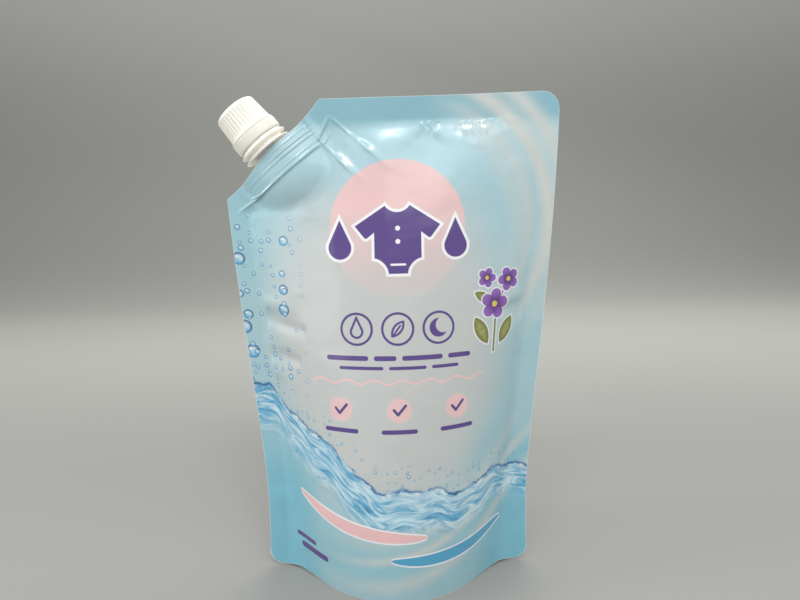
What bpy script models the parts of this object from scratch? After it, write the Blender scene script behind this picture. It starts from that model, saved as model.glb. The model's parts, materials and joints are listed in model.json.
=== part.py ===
"""Stand-up pouch of liquid laundry detergent with a corner spout and a screw cap.

The pouch stands on its opened base gusset at z = 0, with the front panel facing -Y
and the spout in its cut corner at -X, +Z. One unit is one metre.
"""

import math

import bmesh
import bpy
from mathutils import Matrix, Vector

MM = 0.001

# Pouch panels
POUCH_WIDTH = 180 * MM
POUCH_HEIGHT = 276 * MM
CORNER_RADIUS = 9 * MM
SIDE_SEAL = 10 * MM
TOP_SEAL = 12 * MM
FILM = 0.2 * MM

# Filled chamber, front to back
BASE_DEPTH = 73 * MM
BELLY_DEPTH = 77 * MM
BELLY_HEIGHT = 40 * MM
CORNER_LIFT = 2 * MM
SPOUT_SAG = 1.8 * MM

# Base gusset, lying flat on the floor in its middle
GUSSET_HEIGHT = 45 * MM
FLOOR_WIDTH = 68 * MM
SKIRT_HEIGHT = 8 * MM
SKIRT_SLIT = 0.4 * MM

# Folds that the spout's base pulls into the film, and dents beside the side seals
PULL_LENGTH = 44 * MM
PULL_FALL = math.radians(43)
PULL_SPACING = 13 * MM
PULL_HALF = 4.2 * MM
PULL_HEIGHT = 1.6 * MM
LEFT_DENTS = [156 * MM, 131 * MM]
RIGHT_DENTS = [157 * MM]
DENT_LENGTH = 36 * MM
DENT_HALF = 6.5 * MM
DENT_DEPTH = 1.6 * MM

# Cut corner, with its edge drawn in slightly on both sides of the spout
CUT_ACROSS = 53 * MM
CUT_DOWN = 52 * MM
CUT_SEAL = 12 * MM
CUT_BOW = 2.2 * MM
CUT_CROWN = 14 * MM

# Spout base, a boat shape sealed between the films
SPOUT_SHIFT = 1.6 * MM
SPOUT_LEAN = math.radians(5.5)
BOAT_LENGTH = 46 * MM
BOAT_TOP = -3.4 * MM
BOAT_DEPTH = 10.5 * MM
BOAT_TIP = 1.6 * MM
BORE_RADIUS = 7.6 * MM
BOAT_WALL = 1.2 * MM
RIB_COUNT = 4
RIB_DEPTH = 0.45 * MM
RIB_WIDTH = 0.9 * MM
SEAT_GAP = 0.3 * MM
POCKET_WALL = 0.5 * MM

# Spout neck, heights from the film's edge along the spout
STEM_RADIUS = 8.5 * MM
NECK_RADIUS = 9.4 * MM
FLANGE_RADIUS = 14.2 * MM
FLANGE_THICKNESS = 1.1 * MM
LOW_FLANGE = 1.3 * MM
RAIL_GAP = 2.1 * MM
RAIL_RADIUS = 11.2 * MM
SHOULDER_RADIUS = 12.4 * MM
SHOULDER_HEIGHT = 1.7 * MM
BEAD_RADIUS = 11.1 * MM
BEAD_THICKNESS = 1.2 * MM

# Tamper band and cap
RUN_GAP = 0.4 * MM
BAND_RADIUS = 13.6 * MM
BAND_HEIGHT = 5.0 * MM
BAND_WALL = 1.2 * MM
BAND_LIP_RADIUS = 10.3 * MM
BAND_LIP_HEIGHT = 1.1 * MM
BRIDGE_COUNT = 8
SLIT = 0.6 * MM
CAP_RADIUS = 12.6 * MM
CAP_TAPER = 0.9 * MM
CAP_HEIGHT = 16.0 * MM
CAP_RIM_HEIGHT = 1.1 * MM
CAP_DOME = 2.6 * MM
CAP_WALL = 1.2 * MM
CAP_TOP_WALL = 1.4 * MM
CAP_FLUTES = 36
FLUTE_DEPTH = 0.5 * MM
PLUG_DEPTH = 2.6 * MM
PLUG_WALL = 1.0 * MM

# Facets
TURN_STEPS = 60
COLUMN_STEP = 5 * MM
CUT_COLUMN_STEP = 3.3 * MM
MIDDLE_ROWS = 25
SKIRT_ROWS = 3
GUSSET_ROWS = 5
MARGIN_INSETS = [
    TOP_SEAL + 16 * MM, TOP_SEAL + 9 * MM, TOP_SEAL + 4 * MM, TOP_SEAL,
    TOP_SEAL * 0.72, TOP_SEAL * 0.42, TOP_SEAL * 0.18, 0,
]

# Places that follow from the sizes above
HALF_WIDTH = POUCH_WIDTH / 2
CHAMBER_HALF = HALF_WIDTH - SIDE_SEAL
FLOOR_HALF = FLOOR_WIDTH / 2
CUT_LENGTH = math.hypot(CUT_ACROSS, CUT_DOWN)
CUT_MIDDLE = Vector((-HALF_WIDTH + CUT_ACROSS / 2, 0, POUCH_HEIGHT - CUT_DOWN / 2))
CUT_ALONG = Vector((CUT_ACROSS, 0, CUT_DOWN)) / CUT_LENGTH
CUT_NORMAL = Vector((-CUT_DOWN, 0, CUT_ACROSS)) / CUT_LENGTH
SPOUT_PLACE = CUT_MIDDLE - CUT_ALONG * SPOUT_SHIFT
SPOUT_AXIS = CUT_NORMAL * math.cos(SPOUT_LEAN) + CUT_ALONG * math.sin(SPOUT_LEAN)
SPOUT_SIDE = CUT_ALONG * math.cos(SPOUT_LEAN) - CUT_NORMAL * math.sin(SPOUT_LEAN)
BOAT_HALF = BORE_RADIUS + BOAT_WALL
BOAT_BOTTOM = BOAT_TOP - BOAT_DEPTH
HIGH_FLANGE = LOW_FLANGE + FLANGE_THICKNESS + RAIL_GAP
SHOULDER_TOP = HIGH_FLANGE + FLANGE_THICKNESS + SHOULDER_HEIGHT
BAND_BOTTOM = SHOULDER_TOP + RUN_GAP
BAND_TOP = BAND_BOTTOM + BAND_HEIGHT
BEAD_BOTTOM = BAND_BOTTOM + BAND_LIP_HEIGHT + RUN_GAP
CAP_BOTTOM = BAND_TOP + SLIT
CAP_TOP = CAP_BOTTOM + CAP_HEIGHT
NECK_TOP = CAP_TOP - CAP_TOP_WALL - SEAT_GAP


# Shared tools


def smooth(value, start, end):
    """0 before start, 1 after end, and a smooth step between them."""
    share = min(1.0, max(0.0, (value - start) / (end - start)))
    return share * share * (3 - 2 * share)


def plain_material(name, colour, roughness):
    material = bpy.data.materials.new(name)
    material.use_nodes = True
    shader = material.node_tree.nodes["Principled BSDF"]
    shader.inputs["Base Color"].default_value = (*colour, 1)
    shader.inputs["Roughness"].default_value = roughness
    shader.inputs["Metallic"].default_value = 0
    return material


def finish_object(name, bm, material, smooth_angle=35):
    """Closes the mesh, links it as an object and gives it its material."""
    bmesh.ops.recalc_face_normals(bm, faces=bm.faces)
    if bm.calc_volume(signed=True) < 0:
        bmesh.ops.reverse_faces(bm, faces=bm.faces)
    mesh = bpy.data.meshes.new(name)
    bm.to_mesh(mesh)
    bm.free()
    mesh.shade_smooth()
    mesh.set_sharp_from_angle(angle=math.radians(smooth_angle))
    mesh.materials.append(material)
    obj = bpy.data.objects.new(name, mesh)
    bpy.context.scene.collection.objects.link(obj)
    return obj


def hide_tool(obj):
    """A shape that only cuts or joins another isn't a piece of the object."""
    obj.hide_render = True
    obj.display_type = "WIRE"


def boolean(obj, tool, operation):
    modifier = obj.modifiers.new(tool.name, "BOOLEAN")
    modifier.object = tool
    modifier.operation = operation
    modifier.solver = "EXACT"
    hide_tool(tool)


def skin(bm, rings):
    """Quads between rings of equal point count, each ring closed on itself."""
    made = [[bm.verts.new(point) for point in ring] for ring in rings]
    for low, high in zip(made, made[1:]):
        for i in range(len(low)):
            j = (i + 1) % len(low)
            bm.faces.new((low[i], low[j], high[j], high[i]))
    return made


def loft(rings):
    """A solid skinned over rings of equal point count, with both ends capped."""
    bm = bmesh.new()
    made = skin(bm, rings)
    bm.faces.new(made[0])
    bm.faces.new(made[-1])
    return bm


def turned(profile, steps=TURN_STEPS):
    """A solid of revolution about Z from an outline of (radius, height) points.

    An outline that starts and ends on the axis is left open there.
    """
    bm = bmesh.new()
    verts = [bm.verts.new((r, 0, z)) for r, z in profile]
    edges = [bm.edges.new(pair) for pair in zip(verts, verts[1:])]
    if profile[0][0] > 0:
        edges.append(bm.edges.new((verts[-1], verts[0])))
    bmesh.ops.spin(
        bm, geom=edges, cent=(0, 0, 0), axis=(0, 0, 1),
        angle=math.tau, steps=steps, use_merge=True,
    )
    bmesh.ops.remove_doubles(bm, verts=bm.verts, dist=0.001 * MM)
    return bm


def on_spout(obj):
    """Moves a piece modelled about Z to the spout's axis, with X along the cut edge."""
    depth = SPOUT_AXIS.cross(SPOUT_SIDE)
    turn = Matrix((SPOUT_SIDE, depth, SPOUT_AXIS)).transposed().to_4x4()
    obj.matrix_world = Matrix.Translation(SPOUT_FOOT) @ turn
    return obj


# Pouch


def outline_top(u):
    """Height of the film's top edge above a place across the pouch."""
    return inset_top(u, 0)


def inset_top(u, inset):
    """Height of a line at an even distance inside the top edge and the cut edge."""
    slant = CUT_LENGTH / CUT_ACROSS
    share = (u + HALF_WIDTH) / CUT_ACROSS
    crown = math.exp(-(((u - SPOUT_PLACE.x) * slant / CUT_CROWN) ** 2))
    bow = 4 * CUT_BOW * share * max(0.0, 1 - share) * (1 - crown)
    cut = POUCH_HEIGHT - CUT_DOWN * (1 - share) - (bow + inset) * slant
    flat = POUCH_HEIGHT - inset - corner_drop(u - (HALF_WIDTH - CORNER_RADIUS))
    return min(cut, flat)


def outline_bottom(u):
    return corner_drop(abs(u) - (HALF_WIDTH - CORNER_RADIUS))


def corner_drop(inside):
    """How far a rounded corner falls away, a distance past where its arc begins."""
    if inside <= 0:
        return 0.0
    return CORNER_RADIUS - math.sqrt(max(0.0, CORNER_RADIUS**2 - inside**2))


def seal_height(u):
    """The curved line along which the gusset is sealed to the front and back panels."""
    share = min(1.0, abs(u) / CHAMBER_HALF)
    return SKIRT_HEIGHT + (GUSSET_HEIGHT - SKIRT_HEIGHT) * share**3.5


def crease_height(u):
    """The gusset's middle fold: flat on the floor, rising to its tips at the sides."""
    rise = max(0.0, min(CHAMBER_HALF, abs(u)) - FLOOR_HALF) / (CHAMBER_HALF - FLOOR_HALF)
    return GUSSET_HEIGHT * rise**2


def fill_depth(v):
    """Half the chamber's depth at its middle, for a height above the floor."""
    top = POUCH_HEIGHT - TOP_SEAL
    if v < BELLY_HEIGHT:
        rise = 1 - (1 - v / BELLY_HEIGHT) ** 2
        return (BASE_DEPTH + (BELLY_DEPTH - BASE_DEPTH) * rise) / 2
    share = min(1.0, (v - BELLY_HEIGHT) / (top - BELLY_HEIGHT))
    return BELLY_DEPTH / 2 * (1 - share**1.5)


def chamber_sides(v):
    """Left and right end of the filled chamber at a height."""
    behind = CUT_SEAL + CUT_BOW + (v - CUT_MIDDLE.z) * CUT_NORMAL.z
    return max(-CHAMBER_HALF, CUT_MIDDLE.x - behind / CUT_NORMAL.x), CHAMBER_HALF


def chamber_depth(u, v):
    """Half the depth of the filled chamber."""
    left, right = chamber_sides(v)
    across = (2 * u - left - right) / (right - left)
    if abs(across) >= 1:
        return 0.0
    flare = 1 + 0.55 * math.exp(-v / (60 * MM))
    return fill_depth(v) * (1 - across * across) ** flare


def pillow_depth(u, v):
    """Two soft pillows that the seal gathers below the top edge, and the pinch between."""
    below = POUCH_HEIGHT - TOP_SEAL - v
    if below < 0:
        return 0.0
    fade = smooth(below, 0, 7 * MM) * (1 - smooth(below, 16 * MM, 46 * MM))
    pillows = (
        math.exp(-(((u + 12 * MM) / (22 * MM)) ** 2))
        + math.exp(-(((u - 46 * MM) / (17 * MM)) ** 2))
        - 0.8 * math.exp(-(((u - 19 * MM) / (7 * MM)) ** 2))
    )
    return 2.2 * MM * fade * pillows


def fold(u, v, start, direction, length, half, height):
    """Relief of a soft fold that widens and fades out along its direction."""
    away = Vector((u, 0, v)) - start
    share = away.dot(direction) / length
    if not -0.2 < share < 1:
        return 0.0
    across = away.dot(Vector((-direction.z, 0, direction.x)))
    spread = half * (1 + 0.8 * max(0.0, share))
    fade = smooth(share, -0.2, 0.1) * (1 - smooth(share, 0.35, 1))
    return height * fade * math.exp(-((across / spread) ** 2))


def film_relief(u, v):
    """Two folds from the base's inner end, and shallow dents beside the side seals."""
    pull = Vector((math.cos(PULL_FALL), 0, -math.sin(PULL_FALL)))
    end = SPOUT_PLACE + SPOUT_SIDE * (BOAT_LENGTH / 2) + SPOUT_AXIS * (BOAT_TOP - BOAT_DEPTH / 2)
    relief = 0.0
    for start in (end, end + SPOUT_SIDE * PULL_SPACING):
        relief += fold(u, v, start, pull, PULL_LENGTH, PULL_HALF, PULL_HEIGHT)
    for side, dents in ((-1, LEFT_DENTS), (1, RIGHT_DENTS)):
        for height in dents:
            start = Vector((side * CHAMBER_HALF, 0, height))
            inwards = Vector((-side, 0, 0))
            relief -= fold(u, v, start, inwards, DENT_LENGTH, DENT_HALF, DENT_DEPTH)
    return relief


def boat_half(q, grow=0.0):
    """Half the thickness of the spout's base at a distance along it."""
    share = abs(q) / (BOAT_LENGTH / 2)
    return BOAT_TIP / 2 + (BOAT_HALF - BOAT_TIP / 2) * max(0.0, 1 - share**2) + grow


def boat_cover(u, v):
    """Half the depth of the film where it wraps the spout's base."""
    place = film_point(u, v, 0) - SPOUT_FOOT
    depth, along = -place.dot(SPOUT_AXIS), place.dot(SPOUT_SIDE)
    wall = RIB_DEPTH + SEAT_GAP + POCKET_WALL
    lip = BOAT_LENGTH / 2 + RIB_DEPTH + SEAT_GAP
    if abs(along) > lip + 8 * MM:
        return 0.0
    level = boat_half(min(abs(along), BOAT_LENGTH / 2)) + wall
    level *= 1 - smooth(abs(along), lip + 1 * MM, lip + 7 * MM)
    return level * (1 - smooth(depth, 2 * MM - BOAT_BOTTOM, 32 * MM - BOAT_BOTTOM))


def film_half(v):
    """Half the thickness of the sealed margin: two films, or four beside the gusset."""
    beside = 1 - smooth(v, GUSSET_HEIGHT + 1 * MM, GUSSET_HEIGHT + 9 * MM)
    return FILM + (FILM + SKIRT_SLIT / 2) * beside


def panel_depth(u, v):
    """Distance of the outer film from the pouch's middle plane."""
    filled = chamber_depth(u, v)
    relief = (pillow_depth(u, v) + film_relief(u, v)) * smooth(filled, 0, 3 * MM)
    chamber = max(0.0, filled + relief)
    cover = boat_cover(u, v)
    blend = 2 * MM
    spread = max(0.0, blend - abs(chamber - cover)) / blend
    return film_half(v) + max(chamber, cover) + blend / 4 * spread**2


def narrowed(u, v):
    """Place across the filled pouch: the film's width is used up by its bulge."""
    steps = max(1, round(abs(u) / (3 * MM)))
    stride = u / steps
    place = 0.0
    for i in range(steps):
        rise = chamber_depth(stride * (i + 1), v) - chamber_depth(stride * i, v)
        place += math.copysign(math.sqrt(max(0.0, stride**2 - rise**2)), u)
    return place


def lifted(u, v):
    """Height above the floor: the base's corners stand slightly clear of it, and the
    spout's weight draws the top down on its side."""
    lift = CORNER_LIFT * smooth(abs(u), FLOOR_HALF, HALF_WIDTH)
    lift *= 1 - smooth(v, 0, 120 * MM)
    sag = SPOUT_SAG * smooth(-u, -HALF_WIDTH, HALF_WIDTH - CUT_ACROSS)
    return v + lift - sag * smooth(v, POUCH_HEIGHT / 2, POUCH_HEIGHT)


def film_point(u, v, y):
    return Vector((narrowed(u, v), y, lifted(u, v)))


SPOUT_FOOT = film_point(SPOUT_PLACE.x, SPOUT_PLACE.z, 0)


def column_places():
    """Places across the pouch: close in the rounded corners, even between them."""
    arc = [
        HALF_WIDTH - CORNER_RADIUS * (1 - math.cos(math.radians(a)))
        for a in (0, 24, 46, 66)
    ]
    inner = [HALF_WIDTH - CORNER_RADIUS, CHAMBER_HALF]
    cut_end = -HALF_WIDTH + CUT_ACROSS
    left = even_places(-CHAMBER_HALF, cut_end, CUT_COLUMN_STEP)
    right = even_places(cut_end, CHAMBER_HALF, COLUMN_STEP)
    ends = sorted(set(arc + inner))
    return [-u for u in reversed(ends)][:-1] + left + right[1:-1] + ends


def even_places(start, end, step):
    count = round((end - start) / step)
    return [start + (end - start) * i / count for i in range(count + 1)]


def panel_rows(u):
    """Heights of the rows up a panel: skirt, chamber, then the top or cut-edge seal."""
    low, seal = outline_bottom(u), seal_height(u)
    margin = [inset_top(u, inset) for inset in MARGIN_INSETS]
    skirt = [low + (seal - low) * i / SKIRT_ROWS for i in range(SKIRT_ROWS)]
    middle = [seal + (margin[0] - seal) * i / MIDDLE_ROWS for i in range(MIDDLE_ROWS)]
    return skirt + middle + margin


def gusset_half(u):
    """Half the underside: up inside the front skirt, then over to the middle fold."""
    low, seal, crease = outline_bottom(u), seal_height(u), crease_height(u)
    points = []
    for i in range(SKIRT_ROWS + 1):
        v = low + (seal - low) * i / SKIRT_ROWS
        points.append((v, panel_depth(u, v) - 2 * FILM))
    edge = points[-1][1]
    for i in range(1, GUSSET_ROWS + 1):
        share = 1 - i / GUSSET_ROWS
        bow = (max(0.0, share - 0.4) / 0.6) ** 2
        points.append((crease + (seal - crease) * bow, edge * share))
    return points


def pouch_section(u):
    """One closed section: front panel down, gusset across, back panel up."""
    rows = panel_rows(u)
    under = gusset_half(u)
    front = [film_point(u, v, -panel_depth(u, v)) for v in reversed(rows)]
    inside = [film_point(u, v, -y) for v, y in under]
    across = [film_point(u, v, y) for v, y in reversed(under[:-1])]
    back = [film_point(u, v, panel_depth(u, v)) for v in rows]
    return front + inside + across + back


def close_side(bm, ring, rows):
    """Closes a side edge: each skirt beside the slit, then the sealed films above it."""
    last = len(ring) - 1
    for i in range(SKIRT_ROWS):
        outer, inner = rows - 1 - i, rows + i
        for strip in ((outer, outer - 1, inner + 1, inner),
                      (last - outer, last - outer + 1, last - inner - 1, last - inner)):
            bm.faces.new([ring[k] for k in strip])
    seal = rows - 1 - SKIRT_ROWS
    tip = ring[rows + SKIRT_ROWS : last - rows - SKIRT_ROWS + 1]
    bm.faces.new([ring[seal], ring[seal - 1], ring[last - seal + 1], ring[last - seal],
                  *reversed(tip)])
    for i in range(seal - 1):
        bm.faces.new([ring[i], ring[i + 1], ring[last - i - 1], ring[last - i]])


def make_pouch(material):
    bm = bmesh.new()
    places = column_places()
    rows = len(panel_rows(0))
    made = skin(bm, [pouch_section(u) for u in places])
    close_side(bm, made[0], rows)
    close_side(bm, made[-1], rows)
    pouch = finish_object("pouch", bm, material, 40)
    boolean(pouch, make_pocket(), "DIFFERENCE")
    return pouch


# Spout


def boat_outline(grow, z):
    """The base's pointed outline with blunt tips, at a height along the spout."""
    half = BOAT_LENGTH / 2
    places = [half * math.sin(math.radians(a)) for a in range(-90, 91, 12)]
    front = [(q + math.copysign(grow, q) * (abs(q) > 0.99 * half), -boat_half(q, grow))
             for q in places]
    back = [(q, -y) for q, y in reversed(front)]
    return [Vector((q, y, z)) for q, y in front + back]


def make_pocket():
    """The space in the pouch that the spout's base fills."""
    grow = RIB_DEPTH + SEAT_GAP
    rings = [boat_outline(grow, BOAT_BOTTOM - SEAT_GAP), boat_outline(grow, 6 * MM)]
    return on_spout(finish_object("pocket_cutter", loft(rings), tool_material()))


def tool_material():
    return bpy.data.materials.get("tool") or plain_material("tool", (0.5, 0.5, 0.5), 0.5)


def make_boat(material):
    """The spout's base, with weld ribs all round it."""
    rings = []
    pitch = (BOAT_DEPTH - RIB_WIDTH) / (RIB_COUNT - 1)
    for i in range(RIB_COUNT):
        low = BOAT_BOTTOM + i * pitch
        for z, grow in ((low, RIB_DEPTH), (low + RIB_WIDTH, RIB_DEPTH)):
            rings.append(boat_outline(grow, z))
        if i < RIB_COUNT - 1:
            rings.append(boat_outline(0, low + RIB_WIDTH))
            rings.append(boat_outline(0, low + pitch))
    return on_spout(finish_object("spout", loft(rings), material))


def neck_profile():
    """Neck outline from the boat up: two rail flanges, shoulder, bead and lip."""
    high = HIGH_FLANGE + FLANGE_THICKNESS
    return [
        (0, BOAT_TOP - RIB_WIDTH / 2), (STEM_RADIUS, BOAT_TOP - RIB_WIDTH / 2),
        (STEM_RADIUS, LOW_FLANGE), (FLANGE_RADIUS, LOW_FLANGE),
        (FLANGE_RADIUS, LOW_FLANGE + FLANGE_THICKNESS * 0.6),
        (RAIL_RADIUS, LOW_FLANGE + FLANGE_THICKNESS),
        (RAIL_RADIUS, HIGH_FLANGE),
        (FLANGE_RADIUS, HIGH_FLANGE + FLANGE_THICKNESS * 0.3),
        (FLANGE_RADIUS, HIGH_FLANGE + FLANGE_THICKNESS * 0.8),
        (SHOULDER_RADIUS, high + 0.8 * MM),
        (SHOULDER_RADIUS, SHOULDER_TOP - 0.5 * MM),
        (SHOULDER_RADIUS - 0.5 * MM, SHOULDER_TOP),
        (NECK_RADIUS, SHOULDER_TOP), (NECK_RADIUS, BEAD_BOTTOM),
        (BEAD_RADIUS, BEAD_BOTTOM),
        (BEAD_RADIUS - 0.3 * MM, BEAD_BOTTOM + BEAD_THICKNESS * 0.5),
        (NECK_RADIUS, BEAD_BOTTOM + BEAD_THICKNESS * 1.5),
        (NECK_RADIUS, NECK_TOP - 0.5 * MM), (NECK_RADIUS - 0.5 * MM, NECK_TOP),
        (0, NECK_TOP),
    ]


def make_spout(material):
    spout = make_boat(material)
    neck = on_spout(finish_object("neck_blank", turned(neck_profile()), material))
    boolean(spout, neck, "UNION")
    foot = BOAT_BOTTOM - 2 * MM
    bore = [(0, foot), (BORE_RADIUS, foot),
            (BORE_RADIUS, NECK_TOP + 2 * MM), (0, NECK_TOP + 2 * MM)]
    cutter = on_spout(finish_object("bore_cutter", turned(bore), material))
    boolean(spout, cutter, "DIFFERENCE")
    return spout


# Tamper band and cap


def make_band(material):
    """The ring that stays on the neck, held under the bead, with its broken bridges."""
    wall = BAND_RADIUS - BAND_WALL
    profile = [
        (BAND_LIP_RADIUS, BAND_BOTTOM + BAND_LIP_HEIGHT * 0.4),
        (BAND_LIP_RADIUS + 0.6 * MM, BAND_BOTTOM), (BAND_RADIUS - 0.4 * MM, BAND_BOTTOM),
        (BAND_RADIUS, BAND_BOTTOM + 0.4 * MM), (BAND_RADIUS, BAND_TOP),
        (wall, BAND_TOP), (wall, BAND_BOTTOM + BAND_LIP_HEIGHT),
        (BAND_LIP_RADIUS, BAND_BOTTOM + BAND_LIP_HEIGHT),
    ]
    bm = turned(profile)
    upper = [f for f in bm.faces if all(abs(v.co.z - BAND_TOP) < 0.01 * MM for v in f.verts)]
    upper.sort(key=lambda f: math.atan2(f.calc_center_median().y, f.calc_center_median().x))
    bridges = upper[:: len(upper) // BRIDGE_COUNT]
    raised = bmesh.ops.extrude_discrete_faces(bm, faces=bridges)
    return bm, raised


def make_tamper_band(material):
    bm, raised = make_band(material)
    for face in raised["faces"]:
        for vert in face.verts:
            vert.co.z += SLIT - SEAT_GAP
    return on_spout(finish_object("tamper_band", bm, material))


def cap_profile():
    """Cap outline: flared rim, tapered fluted wall, domed top, and the plug inside."""
    inner = CAP_RADIUS - FLUTE_DEPTH - CAP_WALL
    ceiling = CAP_TOP - CAP_TOP_WALL
    plug = BORE_RADIUS - 0.3 * MM
    crown = CAP_RADIUS - CAP_TAPER
    return [
        (0, ceiling), (plug - PLUG_WALL, ceiling),
        (plug - PLUG_WALL, ceiling - PLUG_DEPTH), (plug - 0.3 * MM, ceiling - PLUG_DEPTH),
        (plug, ceiling - PLUG_DEPTH * 0.7), (plug, ceiling),
        (inner - 0.6 * MM, ceiling), (inner - 0.6 * MM, CAP_BOTTOM + 3 * MM),
        (inner, CAP_BOTTOM + 2.4 * MM),
        (inner, CAP_BOTTOM), (BAND_RADIUS - 0.2 * MM, CAP_BOTTOM),
        (BAND_RADIUS - 0.2 * MM, CAP_BOTTOM + CAP_RIM_HEIGHT * 0.7),
        (CAP_RADIUS + 0.1 * MM, CAP_BOTTOM + CAP_RIM_HEIGHT * 1.4),
        (CAP_RADIUS, CAP_BOTTOM + CAP_RIM_HEIGHT * 1.5),
        (crown, CAP_TOP - CAP_DOME),
        (crown - 0.5 * MM, CAP_TOP - CAP_DOME * 0.55),
        (crown - 1.7 * MM, CAP_TOP - CAP_DOME * 0.2),
        (crown - 4.2 * MM, CAP_TOP), (0, CAP_TOP),
    ]


def make_cap(material):
    bm = turned(cap_profile(), CAP_FLUTES * 2)
    low, high = CAP_BOTTOM + CAP_RIM_HEIGHT * 1.45, CAP_TOP - CAP_DOME + 0.1 * MM
    least = CAP_RADIUS - CAP_TAPER - 0.1 * MM
    for vert in bm.verts:
        radius = math.hypot(vert.co.x, vert.co.y)
        if low < vert.co.z < high and radius > least:
            turn = math.atan2(vert.co.y, vert.co.x) / math.tau * CAP_FLUTES * 2
            if round(turn) % 2:
                scale = 1 - FLUTE_DEPTH / radius
                vert.co.x *= scale
                vert.co.y *= scale
    return on_spout(finish_object("cap", bm, material, 25))


def main():
    for obj in list(bpy.data.objects):
        bpy.data.objects.remove(obj)
    film = plain_material("printed_film", (0.53, 0.76, 0.84), 0.35)
    white = plain_material("white_plastic", (0.87, 0.86, 0.82), 0.4)
    make_pouch(film)
    make_spout(white)
    make_tamper_band(white)
    make_cap(white)


main()
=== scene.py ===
"""Dressed model of a laundry detergent pouch: printed film, spout, tamper ring and cap.

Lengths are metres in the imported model's own frame: the pouch stands at z = 0 and its
printed front faces -Y. A film place (u, v) is measured on the flat film, across from its
middle and up from its lower edge. Print sizes are in millimetres on that film.
"""

import functools
import json
import math

import bmesh
import bpy
import numpy as np
from mathutils import Matrix, Vector


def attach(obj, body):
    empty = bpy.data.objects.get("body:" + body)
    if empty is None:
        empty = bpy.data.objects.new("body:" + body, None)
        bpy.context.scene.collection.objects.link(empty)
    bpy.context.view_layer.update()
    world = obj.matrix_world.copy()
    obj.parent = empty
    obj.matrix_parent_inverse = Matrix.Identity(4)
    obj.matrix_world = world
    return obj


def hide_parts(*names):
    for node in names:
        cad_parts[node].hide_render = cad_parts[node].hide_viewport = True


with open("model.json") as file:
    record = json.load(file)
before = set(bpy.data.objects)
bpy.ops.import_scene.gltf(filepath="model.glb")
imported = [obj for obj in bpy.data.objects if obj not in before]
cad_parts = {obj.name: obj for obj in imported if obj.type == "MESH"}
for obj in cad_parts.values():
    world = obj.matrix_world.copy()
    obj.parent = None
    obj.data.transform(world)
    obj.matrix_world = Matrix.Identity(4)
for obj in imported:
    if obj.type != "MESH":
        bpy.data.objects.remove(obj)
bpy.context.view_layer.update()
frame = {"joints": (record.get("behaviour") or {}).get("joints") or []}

MM = 0.001

# Film panels, as cut flat; film points closer than FILM_JOIN become one
HALF_WIDTH = 90 * MM
POUCH_HEIGHT = 276 * MM
CORNER_RADIUS = 9 * MM
SIDE_SEAL = 10 * MM
TOP_SEAL = 12 * MM
FILM = 0.2 * MM
FILM_JOIN = 0.004 * MM
CHAMBER_HALF = HALF_WIDTH - SIDE_SEAL

# Filled chamber, front to back
BASE_DEPTH = 73 * MM
BELLY_DEPTH = 77 * MM
BELLY_HEIGHT = 40 * MM
CORNER_LIFT = 2 * MM
SPOUT_SAG = 1.8 * MM

# Base gusset
GUSSET_HEIGHT = 45 * MM
FLOOR_HALF = 34 * MM
SKIRT_HEIGHT = 8 * MM
SKIRT_SLIT = 0.4 * MM

# Cut corner
CUT_ACROSS = 53 * MM
CUT_DOWN = 52 * MM
CUT_SEAL = 12 * MM
CUT_BOW = 2.2 * MM
CUT_CROWN = 14 * MM
CUT_LENGTH = math.hypot(CUT_ACROSS, CUT_DOWN)
CUT_SLANT = CUT_LENGTH / CUT_ACROSS
CUT_MIDDLE = Vector((-HALF_WIDTH + CUT_ACROSS / 2, 0, POUCH_HEIGHT - CUT_DOWN / 2))
CUT_NORMAL = Vector((-CUT_DOWN, 0, CUT_ACROSS)) / CUT_LENGTH
SPOUT_SHIFT = 1.6 * MM
SPOUT_PLACE = CUT_MIDDLE.x - SPOUT_SHIFT * CUT_ACROSS / CUT_LENGTH

# Spout, placed by the joint that its cap turns on
TURN = next(joint for joint in frame["joints"] if joint["type"] == "hinge")
SPOUT_FOOT = Vector(TURN["pos_m"])
SPOUT_AXIS = Vector(TURN["axis"])
SPOUT_SIDE = Vector((SPOUT_AXIS.z, 0, -SPOUT_AXIS.x))
BOAT_LENGTH = 46 * MM
BOAT_TOP = -3.4 * MM
BOAT_DEPTH = 10.5 * MM
BOAT_BOTTOM = BOAT_TOP - BOAT_DEPTH
BOAT_TIP = 1.6 * MM
BORE_RADIUS = 7.6 * MM
BOAT_HALF = BORE_RADIUS + 1.2 * MM
RIB_COUNT = 4
RIB_DEPTH = 0.45 * MM
RIB_WIDTH = 0.9 * MM
RIB_PITCH = (BOAT_DEPTH - RIB_WIDTH) / (RIB_COUNT - 1)
FILM_REST = 0.85 * MM
RIB_PRESS = 0.1 * MM
MOUTH_DEPTH = 5 * MM

# Heights up the spout from the film's edge, and radii
STEM_RADIUS = 8.5 * MM
NECK_RADIUS = 9.4 * MM
FLANGE_RADIUS = 14.2 * MM
FLANGE_THICKNESS = 1.1 * MM
LOW_FLANGE = 1.3 * MM
HIGH_FLANGE = LOW_FLANGE + FLANGE_THICKNESS + 2.1 * MM
RAIL_RADIUS = 11.2 * MM
SHOULDER_RADIUS = 12.4 * MM
SHOULDER_TOP = HIGH_FLANGE + FLANGE_THICKNESS + 1.7 * MM
BEAD_RADIUS = 11.1 * MM
BEAD_THICKNESS = 1.2 * MM
BAND_BOTTOM = SHOULDER_TOP + 0.4 * MM
BAND_RADIUS = 13.6 * MM
BAND_TOP = BAND_BOTTOM + 5 * MM
SLIT_COVER = 0.5 * MM
BAND_WALL = 1.2 * MM
BAND_LIP_RADIUS = 10.3 * MM
BAND_LIP_HEIGHT = 1.1 * MM
BEAD_BOTTOM = BAND_BOTTOM + BAND_LIP_HEIGHT + 0.4 * MM
BRIDGE_COUNT = 8
BRIDGE_HEIGHT = 0.08 * MM
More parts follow.
